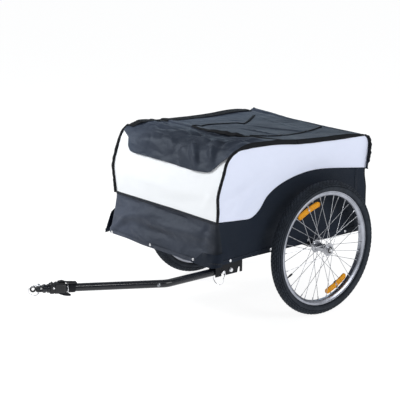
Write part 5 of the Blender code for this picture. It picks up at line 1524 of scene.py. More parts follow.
def tyre_shape(side, centre):
    """A hollow tyre with rows of low tread blocks and a rib on each wall."""
    half = TYRE_WIDTH / 2
    middle = TYRE_RADIUS - half
    bead_x = RIM_WIDTH / 2 - RIM_FLANGE_THICKNESS - GAP
    bead_low = RIM_RADIUS - RIM_FLANGE_HEIGHT + GAP
    bead_high = RIM_RADIUS + GAP
    toe = bead_x - TYRE_WALL
    neck = bead_high + TYRE_WALL
    segments = TREAD_BLOCKS * TREAD_PITCH
    rings = []
    for segment, turn in enumerate(circle(segments)):
        section = [(toe, neck), (toe, bead_low), (bead_x, bead_low), (bead_x, bead_high)]
        for step in range(TYRE_STEPS + 1):
            angle = math.radians(TYRE_START + step * TYRE_SWEEP / TYRE_STEPS)
            out = half - tread_depth(step, segment)
            section.append((out * math.cos(angle), middle + out * math.sin(angle)))
        section += [(-bead_x, bead_high), (-bead_x, bead_low), (-toe, bead_low), (-toe, neck)]
        for step in range(TYRE_INNER_STEPS + 1):
            angle = math.radians(TYRE_INNER_START - step * TYRE_INNER_SWEEP / TYRE_INNER_STEPS)
            hollow = half - TYRE_WALL
            section.append((hollow * math.cos(angle), middle + hollow * math.sin(angle)))
        rings.append([centre + spun(side * x, radius, turn, "X") for x, radius in section])
    return Shape().rings(rings, closed=True)


def spoke_shape(side, centre):
    """All the spokes of a wheel, laced over three crossings, with their nipples and heads."""
    shape = Shape()
    flange = HUB_FLANGE_SPACING / 2
    step = math.pi / SPOKES_PER_FLANGE
    reach = RIM_RADIUS - RIM_DEPTH - 2 * GAP
    for k in range(SPOKES_PER_FLANGE // 2):
        for flange_side, first in ((1, 0), (-1, 1)):
            for trailing in (0, 1):
                rim_angle = (4 * k + first + 2 * trailing) * step + SPOKE_TURN
                lean = -SPOKE_LACING_ANGLE if trailing else SPOKE_LACING_ANGLE
                stagger = SPOKE_STAGGER * (-1 if trailing else 1)
                start = centre + spun(side * flange_side * (flange + stagger), SPOKE_CIRCLE_RADIUS,
                                      rim_angle + lean, "X")
                end = centre + spun(side * flange_side * (SPOKE_RIM_OFFSET + stagger), reach, rim_angle, "X")
                along = (end - start).normalized()
                shape.tube([start, end], SPOKE_RADIUS, SPOKE_SIDES)
                shape.tube([end - along * NIPPLE_LENGTH, end - along * 0.0105, end],
                           [0.0012, NIPPLE_RADIUS, NIPPLE_RADIUS], SPOKE_SIDES)
                shape.ball(start, SPOKE_HEAD_RADIUS, SPOKE_SIDES)
    return shape


def hub_shape(side, centre):
    """The hub shell with rounded noses and flanges."""
    end = HUB_LENGTH / 2
    out = (HUB_FLANGE_SPACING + HUB_FLANGE_THICKNESS) / 2
    inner = (HUB_FLANGE_SPACING - HUB_FLANGE_THICKNESS) / 2
    seat = BEARING_RADIUS + GAP
    half = [(end - 0.0007, seat), (end, seat + 0.0006), (end, HUB_NOSE_RADIUS - HUB_EDGE),
            (end - HUB_EDGE, HUB_NOSE_RADIUS), (out + 0.0012, HUB_NOSE_RADIUS + 0.0002),
            (out, HUB_NOSE_RADIUS + 0.0015), (out, HUB_FLANGE_RADIUS - HUB_EDGE),
            (out - HUB_EDGE, HUB_FLANGE_RADIUS), (inner + HUB_EDGE, HUB_FLANGE_RADIUS),
            (inner, HUB_FLANGE_RADIUS - HUB_EDGE),
            (inner, HUB_BARREL_RADIUS + 0.003), (inner - 0.003, HUB_BARREL_RADIUS)]
    profile = half + [(-x, radius) for x, radius in reversed(half)]
    bore = STUB_AXLE_RADIUS + 3 * GAP
    shelf = end - 0.0073
    profile += [(-shelf, seat), (-shelf, bore), (shelf, bore), (shelf, seat)]
    return Shape().hoop(profile, HUB_SIDES, centre, side)


def rim_shape(side, centre):
    """A box rim with rolled flanges and a shallow line along each wall."""
    bed = RIM_RADIUS - RIM_FLANGE_HEIGHT
    crown = RIM_RADIUS - RIM_DEPTH
    out = RIM_WIDTH / 2
    inner = out - RIM_FLANGE_THICKNESS
    low = RIM_CROWN_WIDTH / 2
    shoulder = bed - RIM_FLANGE_THICKNESS
    half = [(inner, bed), (inner, RIM_RADIUS - 0.0005), (inner + RIM_EDGE, RIM_RADIUS),
            (out - RIM_EDGE, RIM_RADIUS), (out, RIM_RADIUS - 0.0005), (out, bed + 0.0035),
            (out - RIM_EDGE, bed + 0.003), (out - RIM_EDGE, bed + 0.0022), (out, bed + 0.0016),
            (out, shoulder + 0.0006),
            (out - 0.0006, shoulder - 0.0004), (low + 0.0014, crown + 0.0009), (low, crown)]
    profile = half + [(-x, radius) for x, radius in reversed(half)]
    return Shape().hoop(profile, RIM_SIDES, centre, side)


def reflector_outline(inset):
    """The outline of a reflector with round ends, drawn in by an inset: along the rim and out from it."""
    half_height = REFLECTOR_HEIGHT / 2 - inset
    half_length = REFLECTOR_LENGTH / 2 - REFLECTOR_HEIGHT / 2
    outline = []
    for end, start in ((1, -90), (-1, 90)):
        for k in range(13):
            turn = math.radians(start + 15 * k)
            outline.append((end * half_length + half_height * math.cos(turn), half_height * math.sin(turn)))
        for k in range(1, 12):
            outline.append((end * half_length * (1 - k / 6), end * half_height))
    return outline


def reflector_shape(angle, centre, tilt):
    """A long curved reflector with a raised border on both faces, turned a little in its plane."""
    radial = spun(0, 1, angle, "X")
    tangent = Vector((0, -math.sin(angle), math.cos(angle)))
    half = REFLECTOR_THICKNESS / 2
    layers = [(x - half, inset) for x, inset in REFLECTOR_LAYERS]
    layers += [(-x, inset) for x, inset in reversed(layers)]
    rings = []
    for x, inset in layers:
        ring = []
        for along, out in reflector_outline(inset):
            sag = REFLECTOR_SAG * along * along / (2 * REFLECTOR_RADIUS)
            out += along * math.tan(tilt) - sag
            ring.append(centre + radial * (REFLECTOR_RADIUS + out) + tangent * along + Vector((x, 0, 0)))
        rings.append(ring)
    return Shape().rings(rings)


def clip_shape(angle, centre):
    """The clip in a reflector's middle, which grips the spokes."""
    radial = spun(0, 1, angle, "X")
    tangent = Vector((0, -math.sin(angle), math.cos(angle)))
    shape = Shape()
    for out in (-REFLECTOR_HEIGHT / 2 - 0.002, REFLECTOR_HEIGHT / 2 + 0.002):
        place = centre + radial * (REFLECTOR_RADIUS + out)
        shape.tube([place + tangent * along for along in CLIP_PLACES], CLIP_RADII, 10)
    return shape


def rivet_shape(angle, centre):
    """The rivet heads in the middle of a reflector's two faces."""
    place = centre + spun(0, REFLECTOR_RADIUS, angle, "X")
    shape = Shape()
    for face in (1, -1):
        half = face * REFLECTOR_THICKNESS / 2
        shape.turned([(half + face * height, radius) for height, radius in RIVET_OUTLINE], 24, "X", place)
    return shape


def valve_shape(centre):
    """A valve stem with its nut, thread and cap."""
    radial = spun(0, 1, VALVE_ANGLE, "X")
    foot = RIM_RADIUS - RIM_DEPTH - 2 * GAP
    places, radii = [0, 0.002, 0.0026], [0.0052, 0.0052, 0.0027]
    for k in range(VALVE_TURNS):
        places += [0.003 + k * VALVE_PITCH, 0.0034 + k * VALVE_PITCH]
        radii += [0.0027, 0.0024]
    places += [0.015, 0.0156, 0.026, 0.0288, VALVE_LENGTH]
    radii += [0.0025, 0.0038, 0.0036, 0.003, 0.002]
    return Shape().tube([centre + radial * (foot - place) for place in places], radii, 16)


for side_name, side in SIDES:
    body = side_name + "_wheel"
    centre = Vector((side * HALF_TRACK, 0, 0))
    add_piece("tyre_with_tread_" + side_name, tyre_shape(side, centre), rubber, body, ["tyre_" + side_name])
    add_piece("box_rim_" + side_name, rim_shape(side, centre), rim_metal, body, ["rim_" + side_name])
    add_piece("hub_shell_" + side_name, hub_shape(side, centre), galvanised, body,
              ["spoked_hub_" + side_name])
    add_piece("spokes_" + side_name, spoke_shape(side, centre), spoke_metal, body)
    end = HUB_LENGTH / 2
    seal = [(end, STUB_AXLE_RADIUS + GAP), (end, STUB_AXLE_RADIUS + 0.0014),
            (end - 0.0006, STUB_AXLE_RADIUS + 0.0018), (end - 0.0008, BEARING_RADIUS - 0.0012),
            (end - 0.0002, BEARING_RADIUS - 0.0006), (end - 0.0002, BEARING_RADIUS),
            (end - 0.007, BEARING_RADIUS), (end - 0.007, STUB_AXLE_RADIUS + GAP)]
    add_piece("axle_seal_" + side_name, Shape().hoop(seal, SEAL_SIDES, centre, side), seal_rubber, body,
              ["outer_bearing_" + side_name])
    for name, angle, tilt in (("upper", REFLECTOR_ANGLE, REFLECTOR_TILT),
                              ("lower", REFLECTOR_ANGLE + math.pi, 0)):
        add_piece(name + "_prism_" + side_name, reflector_shape(angle, centre, tilt), amber, body,
                  [name + "_reflector_" + side_name])
        add_piece(name + "_clip_" + side_name, clip_shape(angle, centre), black_plastic, body)
        add_piece(name + "_mark_" + side_name, rivet_shape(angle, centre), zinc, body)
    add_piece("valve_stem_" + side_name, valve_shape(centre), black_plastic, body, ["valve_" + side_name])
    foot = end + BUTTON_STAND_OFF
    button = [(end - 0.004, PUSH_BUTTON_STEM), (foot, PUSH_BUTTON_STEM)]
    button += [(foot + height, radius) for height, radius in PUSH_BUTTON_OUTLINE]
    button_shape = Shape().turned([(side * x, radius) for x, radius in button], 32, "X", centre)
    add_piece("push_button_" + side_name, button_shape, zinc, side_name + "_button",
              ["release_button_" + side_name])
    dress(["inner_tube_" + side_name], rubber)
    dress(["inner_bearing_" + side_name, "stub_axle_" + side_name], zinc)


# Frame

dress(["side_rail_left", "side_rail_right", "front_rail", "rear_rail", "axle_cross_tube", "side_hoop_left",
       "side_hoop_right", "front_top_bar", "rear_top_bar", "tow_bracket"], frame_paint)
add_bevel(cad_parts["tow_bracket"], BRACKET_BEVEL)


# Tow bracket, pivot and arm

PIVOT = Vector((ARM_OFFSET, PIVOT_Y, ARM_HEIGHT))
PIVOT_BOLT_RADIUS = 0.004
PIVOT_HEAD_RADIUS = 0.0075
PIVOT_HEAD_THICKNESS = 0.005
PIVOT_WASHER_THICKNESS = 0.001
NUT_THICKNESS = 0.0055
ARM_BOLT_SETBACK = 0.02
LOCK_PIN_RADIUS = 0.004
LOCK_PIN_TIP = 0.0075
LOCK_HEAD_RADIUS = 0.0065
LOCK_HEAD_THICKNESS = 0.009
BAIL_WIRE_RADIUS = 0.0014
BAIL_SIDES = 12
LOCK_RING_HALF_WIDTH = 0.0275
LOCK_RING_HALF_HEIGHT = 0.0245
LOCK_RING_DROP = 0.026
LOCK_RING_SWING = 0.006
PLUG_OUTLINE = ((0, 0.98), (0.001, 1), (0.0025, 1), (0.0035, 0.9), (0.0038, 0.6))
ARM_WASHER_OUTLINE = ((-0.002, 0.0062), (0.0006, 0.0062), (0.001, 0.0056), (0.001, 0.003))
ARM_BOLT_OUTLINE = ((0.0008, 0.0046), (0.0022, 0.0045), (0.0031, 0.0036), (0.0033, 0.002), (0.0022, 0.0018))
COUPLER_REAR = 0.111
SOCKET_DEPTH = 0.033
ARM_BACKWARD = Vector((math.sin(ARM_ANGLE), math.cos(ARM_ANGLE), 0))
ARM_ASIDE = Vector((math.cos(ARM_ANGLE), -math.sin(ARM_ANGLE), 0))


def arm_point(setback):
    """A point on the arm's front run, measured backwards from the eye."""
    along = ARM_BACKWARD * math.cos(ARM_RISE) - Vector((0, 0, math.sin(ARM_RISE)))
    return Vector((EYE_X, EYE_Y, EYE_HEIGHT)) + along * setback


def hex_head(low, high, radius):
    """A six-sided head with rounded corners above and below, as turned points."""
    return [(low, radius * 0.93), (low + 0.0005, radius), (high - 0.0008, radius), (high, radius * 0.86)]


outer = BRACKET_INNER_WIDTH / 2 + BRACKET_WALL
face = outer + GAP
washer = face + PIVOT_WASHER_THICKNESS
nut_end = -face - NUT_THICKNESS
bolt = Shape().turned(hex_head(washer, face + PIVOT_HEAD_THICKNESS, PIVOT_HEAD_RADIUS), 6, "X", PIVOT)
outline = ((face, 0.5), (face, 1.08), (washer, 1.08), (washer, 0.5))
bolt.turned([(x, PIVOT_HEAD_RADIUS * share) for x, share in outline], 32, "X", PIVOT)
bolt.turned([(nut_end - 0.002, PIVOT_BOLT_RADIUS - 0.0006), (nut_end - 0.0014, PIVOT_BOLT_RADIUS),
             (face, PIVOT_BOLT_RADIUS)], 24, "X", PIVOT)
add_piece("pivot_bolt_with_washer", bolt, zinc, "frame", ["pivot_bolt"])
nut = Shape().turned(hex_head(nut_end, -face, PIVOT_HEAD_RADIUS), 6, "X", PIVOT)
add_piece("pivot_lock_nut", nut, zinc, "frame", ["pivot_nut"])

tail = Vector((ARM_OFFSET, PIVOT_Y + ARM_TAIL, ARM_HEIGHT))
bend = Vector((ARM_OFFSET, ARM_BEND_Y, ARM_HEIGHT))
tip = arm_point(COUPLER_REAR - SOCKET_DEPTH + GAP)
arm_line = even(rounded([tail, bend, tip], [ARM_BEND_RADIUS], [20]), 120)
add_piece("bent_arm_tube", Shape().tube(arm_line, ARM_RADIUS, 40), arm_paint, "arm", ["tow_arm"])
plug = Shape().turned([(y, ARM_RADIUS * share) for y, share in PLUG_OUTLINE], 32, "Y", tail)
add_piece("arm_end_plug", plug, black_plastic, "arm")

setback = (bend - arm_point(0)).length - ARM_BOLT_SETBACK - ARM_BEND_RADIUS * math.tan(ARM_ANGLE / 2)
turn_out = Matrix.Translation(arm_point(setback)) @ ARM_ASIDE.to_track_quat("Z", "Y").to_matrix().to_4x4()
arm_bolt = Shape()
for outline in (ARM_WASHER_OUTLINE, ARM_BOLT_OUTLINE):
    arm_bolt.turned([(ARM_RADIUS + height, radius) for height, radius in outline], 32, "Z")
# The arm bolt wears the zinc's darker copy, as painted shade.
add_piece("arm_bolt_with_washer", Shape().join(arm_bolt, turn_out), shaded_zinc, "arm", ["arm_bolt"])

lock = PIVOT + Vector((0, -LOCK_RADIUS, 0))
pin_head = outer + 2 * GAP
pin_far = -outer - LOCK_PIN_TIP
crown = pin_head + LOCK_HEAD_THICKNESS
profile = [(pin_far, 0.0018), (pin_far + 0.0006, 0.0028), (pin_far + 0.002, LOCK_PIN_RADIUS),
           (pin_head, LOCK_PIN_RADIUS), (pin_head, LOCK_HEAD_RADIUS - 0.0006),
           (pin_head + 0.0006, LOCK_HEAD_RADIUS), (crown - 0.0018, LOCK_HEAD_RADIUS),
           (crown - 0.0006, LOCK_HEAD_RADIUS - 0.0008), (crown, LOCK_HEAD_RADIUS - 0.0022)]
add_piece("arm_lock_pin", Shape().turned(profile, 36, "X", lock), zinc, "arm", ["lock_pin"])

knuckle = pin_head + LOCK_HEAD_THICKNESS / 2
leg = LOCK_HEAD_RADIUS + GAP + BAIL_WIRE_RADIUS + 0.001
far_leg = pin_far - knuckle + LOCK_PIN_TIP / 2
corners = [(0, -LOCK_HEAD_RADIUS, 0), (0.0012, leg * 0.4, -0.001), (0.0035, leg * 0.7, -0.008)]
for degrees in range(10, -191, -20):
    angle = math.radians(degrees)
    corners.append((far_leg / 2 + LOCK_RING_HALF_WIDTH * math.cos(angle), leg * 0.3 - LOCK_RING_SWING,
                    LOCK_RING_HALF_HEIGHT * math.sin(angle) - LOCK_RING_DROP))
corners.append((far_leg, 0.002, -LOCK_PIN_RADIUS - GAP - BAIL_WIRE_RADIUS - 0.0005))
wire = [lock + Vector((knuckle, 0, 0)) + point for point in smooth_curve(corners, 90)]
wire_shape = Shape().tube(wire, BAIL_WIRE_RADIUS, BAIL_SIDES)
add_piece("lock_bail_wire", wire_shape, zinc, "lock_bail", ["lock_pin_bail"])


# Coupler, measured backwards from the eye along the arm

EYE_RADIUS = 0.0115
EYE_HOLE_RADIUS = 0.00525
EYE_THICKNESS = 0.006
HITCH_PIN_SETBACK = 0.018
HITCH_PIN_RADIUS = 0.004
HITCH_HEAD_RADIUS = 0.0062
HITCH_HEAD_HEIGHT = 0.0064
HITCH_PIN_TIP = 0.0165
TONGUE_RADIUS = 0.008
TONGUE_THICKNESS = 0.009
FORK_WIDTH = 0.015
FORK_ARM_THICKNESS = 0.005
FORK_ROOT = 0.0295
SWIVEL_RADIUS = 0.0148
SWIVEL_FRONT = 0.034
SWIVEL_REAR = 0.055
SWIVEL_GROOVE_RADIUS = 0.0122
SWIVEL_STEM_RADIUS = 0.006
COUPLER_WIDTH = 0.0315
COUPLER_HEIGHT = 0.0325
COUPLER_RIDGE_HEIGHT = 0.004
COUPLER_RIDGE_FRONT = 0.074
STRAP_FRONT = 0.12
STRAP_WIDTH = 0.022
STRAP_THICKNESS = 0.0024
STRAP_END_WIDTH = 0.019
STRAP_END_THICKNESS = 0.0032
STRAP_TAIL_WIDTH = 0.018
STRAP_TAIL_NARROWING = 0.013
STRAP_TAIL_THICKNESS = 0.0022
STRAP_SIDES = 14
STRAP_TAIL_LINE = ((0.013, 0.088, -0.008), (0.014, 0.098, -0.012), (0.013, 0.108, -0.0165),
                   (0.011, 0.118, -0.0205), (0.009, 0.127, -0.0235))
BUCKLE_SLOT = 0.0072
BUCKLE_HALF_WIDTH = 0.0098
RING_SETBACK = 0.1155
RING_RADIUS = 0.0165
RING_WIRE_RADIUS = 0.0015
RING_STEPS = 48
HITCH_BAIL_REACH = 0.0385
HITCH_BAIL_DROP = 0.0215
HITCH_BAIL_BENDS = (0.0015, 0.01, 0.012, 0.012, 0.008, 0.0015)
HOUSING_RIVET_OUTLINE = ((-0.002, 0.003), (0.0003, 0.003), (0.0008, 0.0022), (0.0009, 0.0008))
RIDGES = 5
RIDGE_PITCH = 0.0062
SIDE_RIDGES = 4
SIDE_RIDGE_PITCH = 0.0065
PLASTIC_BEVEL = 0.0006
FORK_BEVEL = 0.0005
EYE_OUTLINE_STEPS = 16
HOUSING_SIDES = 32
EYE_SIDES = 48

# The housing's sections: place behind the fork, how much slimmer than its middle, corner radius
HOUSING_FRONT = ((0, 0.0022, 0.004), (0.0008, 0.0008, 0.0045), (0.002, 0, 0.005), (0.013, 0, 0.005),
                 (0.0138, 0.0012, 0.005), (0.0158, 0.0012, 0.005), (0.0166, 0, 0.005))
HOUSING_REAR = ((-0.01, 0, 0.005), (-0.004, 0.001, 0.006), (-0.001, 0.0022, 0.007), (0, 0.0034, 0.007))

nose = Matrix.Translation(arm_point(0)) @ Euler((-ARM_RISE, 0, -ARM_ANGLE)).to_matrix().to_4x4()


def add_nose_piece(name, shape, finish, body, replaces=(), bevel=0.0):
    """One object from a shape whose Y runs backwards from the eye along the arm."""
    add_piece(name, Shape().join(shape, nose), finish, body, replaces, bevel)


def section(half_width, half_height, corner, y):
    """A rounded rectangle across the arm's direction."""
    ring = []
    for angle in circle(HOUSING_SIDES, 0.5):
        c, s = math.cos(angle), math.sin(angle)
        x = math.copysign(half_width - corner, c) + corner * c
        z = math.copysign(half_height - corner, s) + corner * s
        ring.append(Vector((x, y, z)))
    return ring


def side_block(shape, side, inner, outer, low, high):
    """Add a box on one side, from (y, z) to (y, z)."""
    low_x, high_x = sorted((side * inner, side * outer))
    shape.block((low_x, *low), (high_x, *high))


half_width, half_height = COUPLER_WIDTH / 2, COUPLER_HEIGHT / 2
front = SWIVEL_REAR + GAP
places = [(front + step, slim, corner) for step, slim, corner in HOUSING_FRONT]
places += [(COUPLER_REAR + step, slim, corner) for step, slim, corner in HOUSING_REAR]
rings = [section(half_width - slim, half_height - slim, corner, y) for y, slim, corner in places]
add_nose_piece("coupler_housing", Shape().rings(rings), black_plastic, "arm", ["coupler_body"])

ridges = Shape()
top = half_height + COUPLER_RIDGE_HEIGHT
ridges.block((0.004 - half_width, COUPLER_RIDGE_FRONT, 0.004),
             (half_width - 0.004, COUPLER_REAR - 0.004, top - 0.0012))
for k in range(RIDGES):
    y = COUPLER_RIDGE_FRONT + 0.0035 + k * RIDGE_PITCH
    ridges.block((0.0052 - half_width, y, top - 0.002), (half_width - 0.0052, y + 0.003, top))
ridges.block((0.006 - half_width, front + 0.006, 0.004), (half_width - 0.006, front + 0.011, top))
for side in (1, -1):
    for k in range(SIDE_RIDGES):
        y = COUPLER_RIDGE_FRONT + 0.006 + k * SIDE_RIDGE_PITCH
        side_block(ridges, side, half_width - 0.004, half_width + 0.0004, (y, -0.009), (y + 0.0022, 0.009))
add_nose_piece("coupler_ridges", ridges, black_plastic, "arm", bevel=PLASTIC_BEVEL)

rivet = Shape().turned([(half_width + height, radius) for height, radius in HOUSING_RIVET_OUTLINE], 24, "X",
                       (0, COUPLER_RIDGE_FRONT - 0.007, 0.004))
add_nose_piece("coupler_rivet", rivet, zinc, "arm")

inner = ARM_RADIUS + GAP
strap = Shape()
rear = STRAP_FRONT + STRAP_WIDTH
middle_y = (STRAP_FRONT + rear) / 2
for lap, lift, shift in ((0, 0, 0), (1, STRAP_THICKNESS * 0.5, 0.0006)):
    line, outs = [], []
    for k in range(49):
        angle = math.radians(90 + 7.5 * k + 20 * lap)
        out = Vector((math.cos(angle), 0, math.sin(angle)))
        line.append(Vector((0, middle_y + shift, 0)) + out * (inner + STRAP_THICKNESS * 0.28 + lift))
        outs.append(out)
    strap.ribbon(line, outs, STRAP_WIDTH - 0.002 * lap, STRAP_THICKNESS * 0.5, STRAP_SIDES)
line = smooth_curve([(0, 0.084, half_height + 0.0055), (0, 0.098, half_height + 0.0078),
                     (0, 0.112, inner + 0.0062), (0, middle_y, inner + 0.0054),
                     (0.001, 0.145, inner + 0.0032)], 26)
strap.ribbon(line, [Vector((0, 0, 1))] * len(line), STRAP_END_WIDTH, STRAP_END_THICKNESS, STRAP_SIDES)
line = smooth_curve(STRAP_TAIL_LINE, 30)
widths = [STRAP_TAIL_WIDTH - STRAP_TAIL_NARROWING * share ** 2 for share in spread(0, 1, 30)]
strap.ribbon(line, [Vector((1, 0, 0.15))] * len(line), widths, STRAP_TAIL_THICKNESS, STRAP_SIDES)
add_nose_piece("strap_loops", strap, strap_tape, "arm", ["safety_strap"])

buckle = Shape()
seat = inner + STRAP_THICKNESS
for low, high in ((STRAP_FRONT - 0.001, STRAP_FRONT + 0.004), (rear + 0.001, rear + 0.005)):
    buckle.block((-0.009, low, seat - 0.0006), (0.009, high, seat + 0.003))
for side in (1, -1):
    side_block(buckle, side, BUCKLE_SLOT, BUCKLE_HALF_WIDTH, (STRAP_FRONT - 0.001, seat - 0.0006),
               (rear + 0.005, seat + 0.0034))
buckle.block((-BUCKLE_SLOT, middle_y - 0.0018, seat + 0.0012),
             (BUCKLE_SLOT, middle_y + 0.0018, seat + 0.0042))
add_nose_piece("strap_buckle", buckle, black_plastic, "arm", bevel=PLASTIC_BEVEL)

drop = RING_RADIUS - RING_WIRE_RADIUS - ARM_RADIUS - GAP
line = [Vector((RING_RADIUS * math.cos(angle), RING_SETBACK, RING_RADIUS * math.sin(angle) - drop))
        for angle in circle(RING_STEPS)]
ring_shape = Shape().tube(line, RING_WIRE_RADIUS, 12, closed=True)
add_nose_piece("strap_ring_wire", ring_shape, zinc, "arm", ["strap_ring"])

gap_half = TONGUE_THICKNESS / 2 + GAP
fork_half = gap_half + FORK_ARM_THICKNESS
groove = (SWIVEL_FRONT + SWIVEL_REAR) / 2
profile = [(FORK_ROOT, fork_half * 0.92), (FORK_ROOT + 0.0006, fork_half),
           (SWIVEL_FRONT - 0.0006, SWIVEL_RADIUS - 0.0012), (SWIVEL_FRONT + 0.0004, SWIVEL_RADIUS),
           (groove - 0.0032, SWIVEL_RADIUS), (groove - 0.002, SWIVEL_GROOVE_RADIUS),
           (groove + 0.002, SWIVEL_GROOVE_RADIUS), (groove + 0.0032, SWIVEL_RADIUS),
           (SWIVEL_REAR - 0.0008, SWIVEL_RADIUS), (SWIVEL_REAR, SWIVEL_RADIUS - 0.0008),
           (SWIVEL_REAR, SWIVEL_STEM_RADIUS), (COUPLER_REAR - SOCKET_DEPTH - 2 * GAP, SWIVEL_STEM_RADIUS)]
fork = Shape().turned(profile, 40, "Y")
half = FORK_WIDTH / 2
angles = [math.radians(180 + 9 * k) for k in range(21)]
outline = [(half * math.cos(angle), HITCH_PIN_SETBACK + half * math.sin(angle)) for angle in angles]
outline += [(half, FORK_ROOT + 0.003), (-half, FORK_ROOT + 0.003)]
for low in (gap_half, -fork_half):
    fork.prism(outline, low, low + FORK_ARM_THICKNESS)
add_nose_piece("swivel_clevis", fork, arm_paint, "swivel", ["swivel_fork"], FORK_BEVEL)

foot = fork_half + GAP
head = foot + HITCH_HEAD_HEIGHT
profile = [(-HITCH_PIN_TIP, 0.0016), (0.0006 - HITCH_PIN_TIP, 0.0028),
           (0.0015 - HITCH_PIN_TIP, HITCH_PIN_RADIUS), (foot, HITCH_PIN_RADIUS),
           (foot, HITCH_HEAD_RADIUS - 0.0005), (foot + 0.0005, HITCH_HEAD_RADIUS),
           (head - 0.0012, HITCH_HEAD_RADIUS), (head - 0.0003, HITCH_HEAD_RADIUS - 0.001),
           (head, HITCH_HEAD_RADIUS - 0.0025)]
pin_place = (0, HITCH_PIN_SETBACK, 0)
add_nose_piece("hitch_pin_turned", Shape().turned(profile, 36, "Z", pin_place), zinc, "eye", ["hitch_pin"])

knuckle = foot + HITCH_HEAD_HEIGHT / 2
leg = half + GAP + BAIL_WIRE_RADIUS + 0.0003
low = -HITCH_BAIL_DROP - knuckle
pin_end = -(fork_half + HITCH_PIN_TIP) / 2 - knuckle
corners = [(0.001 - HITCH_HEAD_RADIUS, 0, 0), (leg, 0, 0), (leg, -0.02, 0.001),
           (leg, -HITCH_BAIL_REACH, -0.4 * HITCH_BAIL_DROP), (leg, 0.004 - HITCH_BAIL_REACH, low * 0.75),
           (leg, -0.012, low), (leg, 0, pin_end), (HITCH_PIN_RADIUS + 3 * GAP, 0, pin_end)]
wire = rounded(corners, HITCH_BAIL_BENDS, [6] * len(HITCH_BAIL_BENDS))
wire = even([Vector((0, HITCH_PIN_SETBACK, knuckle)) + point for point in wire], 110)
add_nose_piece("hitch_bail_wire", Shape().tube(wire, BAIL_WIRE_RADIUS, BAIL_SIDES), zinc, "hitch_bail",
               ["hitch_pin_bail"])

half_eye = EYE_THICKNESS / 2
half_tongue = TONGUE_THICKNESS / 2
middle_radius = (EYE_RADIUS + EYE_HOLE_RADIUS) / 2
half_wall = (EYE_RADIUS - EYE_HOLE_RADIUS) / 2
outline = [(blunt(math.cos(angle), 0.6) * half_eye,
            middle_radius + blunt(math.sin(angle), 0.6) * half_wall) for angle in circle(EYE_OUTLINE_STEPS)]
eye_shape = Shape().hoop(outline, EYE_SIDES)
eye_shape.block((-0.7 * half_eye, 0.8 * EYE_RADIUS, -0.8 * half_tongue),
                (0.7 * half_eye, HITCH_PIN_SETBACK - 0.6 * TONGUE_RADIUS, 0.8 * half_tongue))
eye_shape.turned([(-half_tongue, TONGUE_RADIUS - 0.0006), (0.0006 - half_tongue, TONGUE_RADIUS),
                  (half_tongue - 0.0006, TONGUE_RADIUS), (half_tongue, TONGUE_RADIUS - 0.0006)],
                 36, "Z", pin_place)
add_nose_piece("eye_ring_plate", eye_shape, arm_paint, "eye", ["eye_plate"])


# Floor, light and camera

FLOOR_REACH = 60
FLOOR_TONE = 0.25
FLOOR_GLOW = 0.91
SKY_COLOUR = (0.92, 0.96, 1.0, 1)
SKY_AT_HORIZON = 0.18
SKY_OVERHEAD = 0.34

scene = bpy.context.scene
scene.view_settings.view_transform = "Standard"
floor_finish = bpy.data.materials.new("studio_floor")
floor_finish.use_nodes = True
for socket, value in (("Base Color", (FLOOR_TONE, FLOOR_TONE, FLOOR_TONE, 1)),
                      ("Emission Color", (1, 1, 1, 1)), ("Emission Strength", FLOOR_GLOW), ("Roughness", 0.9),
                      ("Specular IOR Level", 0.1)):
    floor_finish.node_tree.nodes["Principled BSDF"].inputs[socket].default_value = value
floor_data = bpy.data.meshes.new("studio_floor")
floor_corners = [(x * FLOOR_REACH, y * FLOOR_REACH, 0) for x, y in ((-1, -1), (1, -1), (1, 1), (-1, 1))]
floor_data.from_pydata(floor_corners, [], [(0, 1, 2, 3)])
floor_data.materials.append(floor_finish)
studio_floor = bpy.data.objects.new("studio_floor", floor_data)
bpy.context.collection.objects.link(studio_floor)

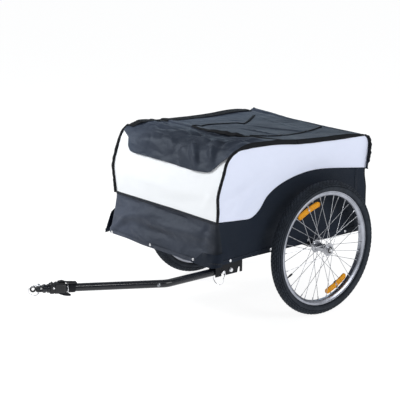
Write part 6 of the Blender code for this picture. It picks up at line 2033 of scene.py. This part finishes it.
scene.world = bpy.data.worlds.new("studio")
scene.world.use_nodes = True
tree = scene.world.node_tree
sky = tree.nodes["Background"]
sky_place = tree.nodes.new("ShaderNodeTexCoord")
sky_parts = tree.nodes.new("ShaderNodeSeparateXYZ")
sky_tone = tree.nodes.new("ShaderNodeMapRange")
sky_tone.inputs["To Min"].default_value = SKY_AT_HORIZON
sky_tone.inputs["To Max"].default_value = SKY_OVERHEAD
tree.links.new(sky_place.outputs["Generated"], sky_parts.inputs[0])
tree.links.new(sky_parts.outputs["Z"], sky_tone.inputs["Value"])
tree.links.new(sky_tone.outputs[0], sky.inputs["Strength"])
sky.inputs["Color"].default_value = SKY_COLOUR


def add_light(name, place, target, size, power, colour=(1, 1, 1)):
    """A soft square light that looks at a point."""
    data = bpy.data.lights.new(name, "AREA")
    data.shape = "SQUARE"
    data.size = size
    data.energy = power
    data.color = colour
    lamp = bpy.data.objects.new(name, data)
    bpy.context.collection.objects.link(lamp)
    lamp.location = AXLE + Vector(place)
    lamp.rotation_euler = (Vector(target) - Vector(place)).to_track_quat("-Z", "Y").to_euler()


TARGET = (0, 0, 0.1)
add_light("key", (-1.75, -1.95, 2.0), TARGET, 0.9, 68)
add_light("back", (-2.6, 2.4, 1.5), TARGET, 1.4, 10, (0.66, 0.83, 1.0))
add_light("glint", (2.7, -0.7, 2.4), (0.2, -0.8, 0), 0.35, 8)
add_light("side", (4.5, 1.2, 2.0), TARGET, 2.4, 80)

CAMERA_PLACE = AXLE + Vector((4.2556, -3.9633, 1.6085))
CAMERA_AZIMUTH = math.radians(49.18)
CAMERA_ELEVATION = math.radians(14.487)
CAMERA_ROLL = math.radians(0.42)
CAMERA_LENS = 143.8
CAMERA_SENSOR = 36
camera_data = bpy.data.cameras.new("camera")
camera_data.sensor_width = CAMERA_SENSOR
camera_data.lens = CAMERA_LENS
camera = bpy.data.objects.new("camera", camera_data)
bpy.context.collection.objects.link(camera)
back = Vector((math.sin(CAMERA_AZIMUTH) * math.cos(CAMERA_ELEVATION),
               -math.cos(CAMERA_AZIMUTH) * math.cos(CAMERA_ELEVATION), math.sin(CAMERA_ELEVATION)))
right = Vector((math.cos(CAMERA_AZIMUTH), math.sin(CAMERA_AZIMUTH), 0))
above = back.cross(right)
right, above = (right * math.cos(CAMERA_ROLL) + above * math.sin(CAMERA_ROLL),
                above * math.cos(CAMERA_ROLL) - right * math.sin(CAMERA_ROLL))
camera.matrix_world = Matrix.Translation(CAMERA_PLACE) @ Matrix((right, above, back)).transposed().to_4x4()
scene.camera = camera
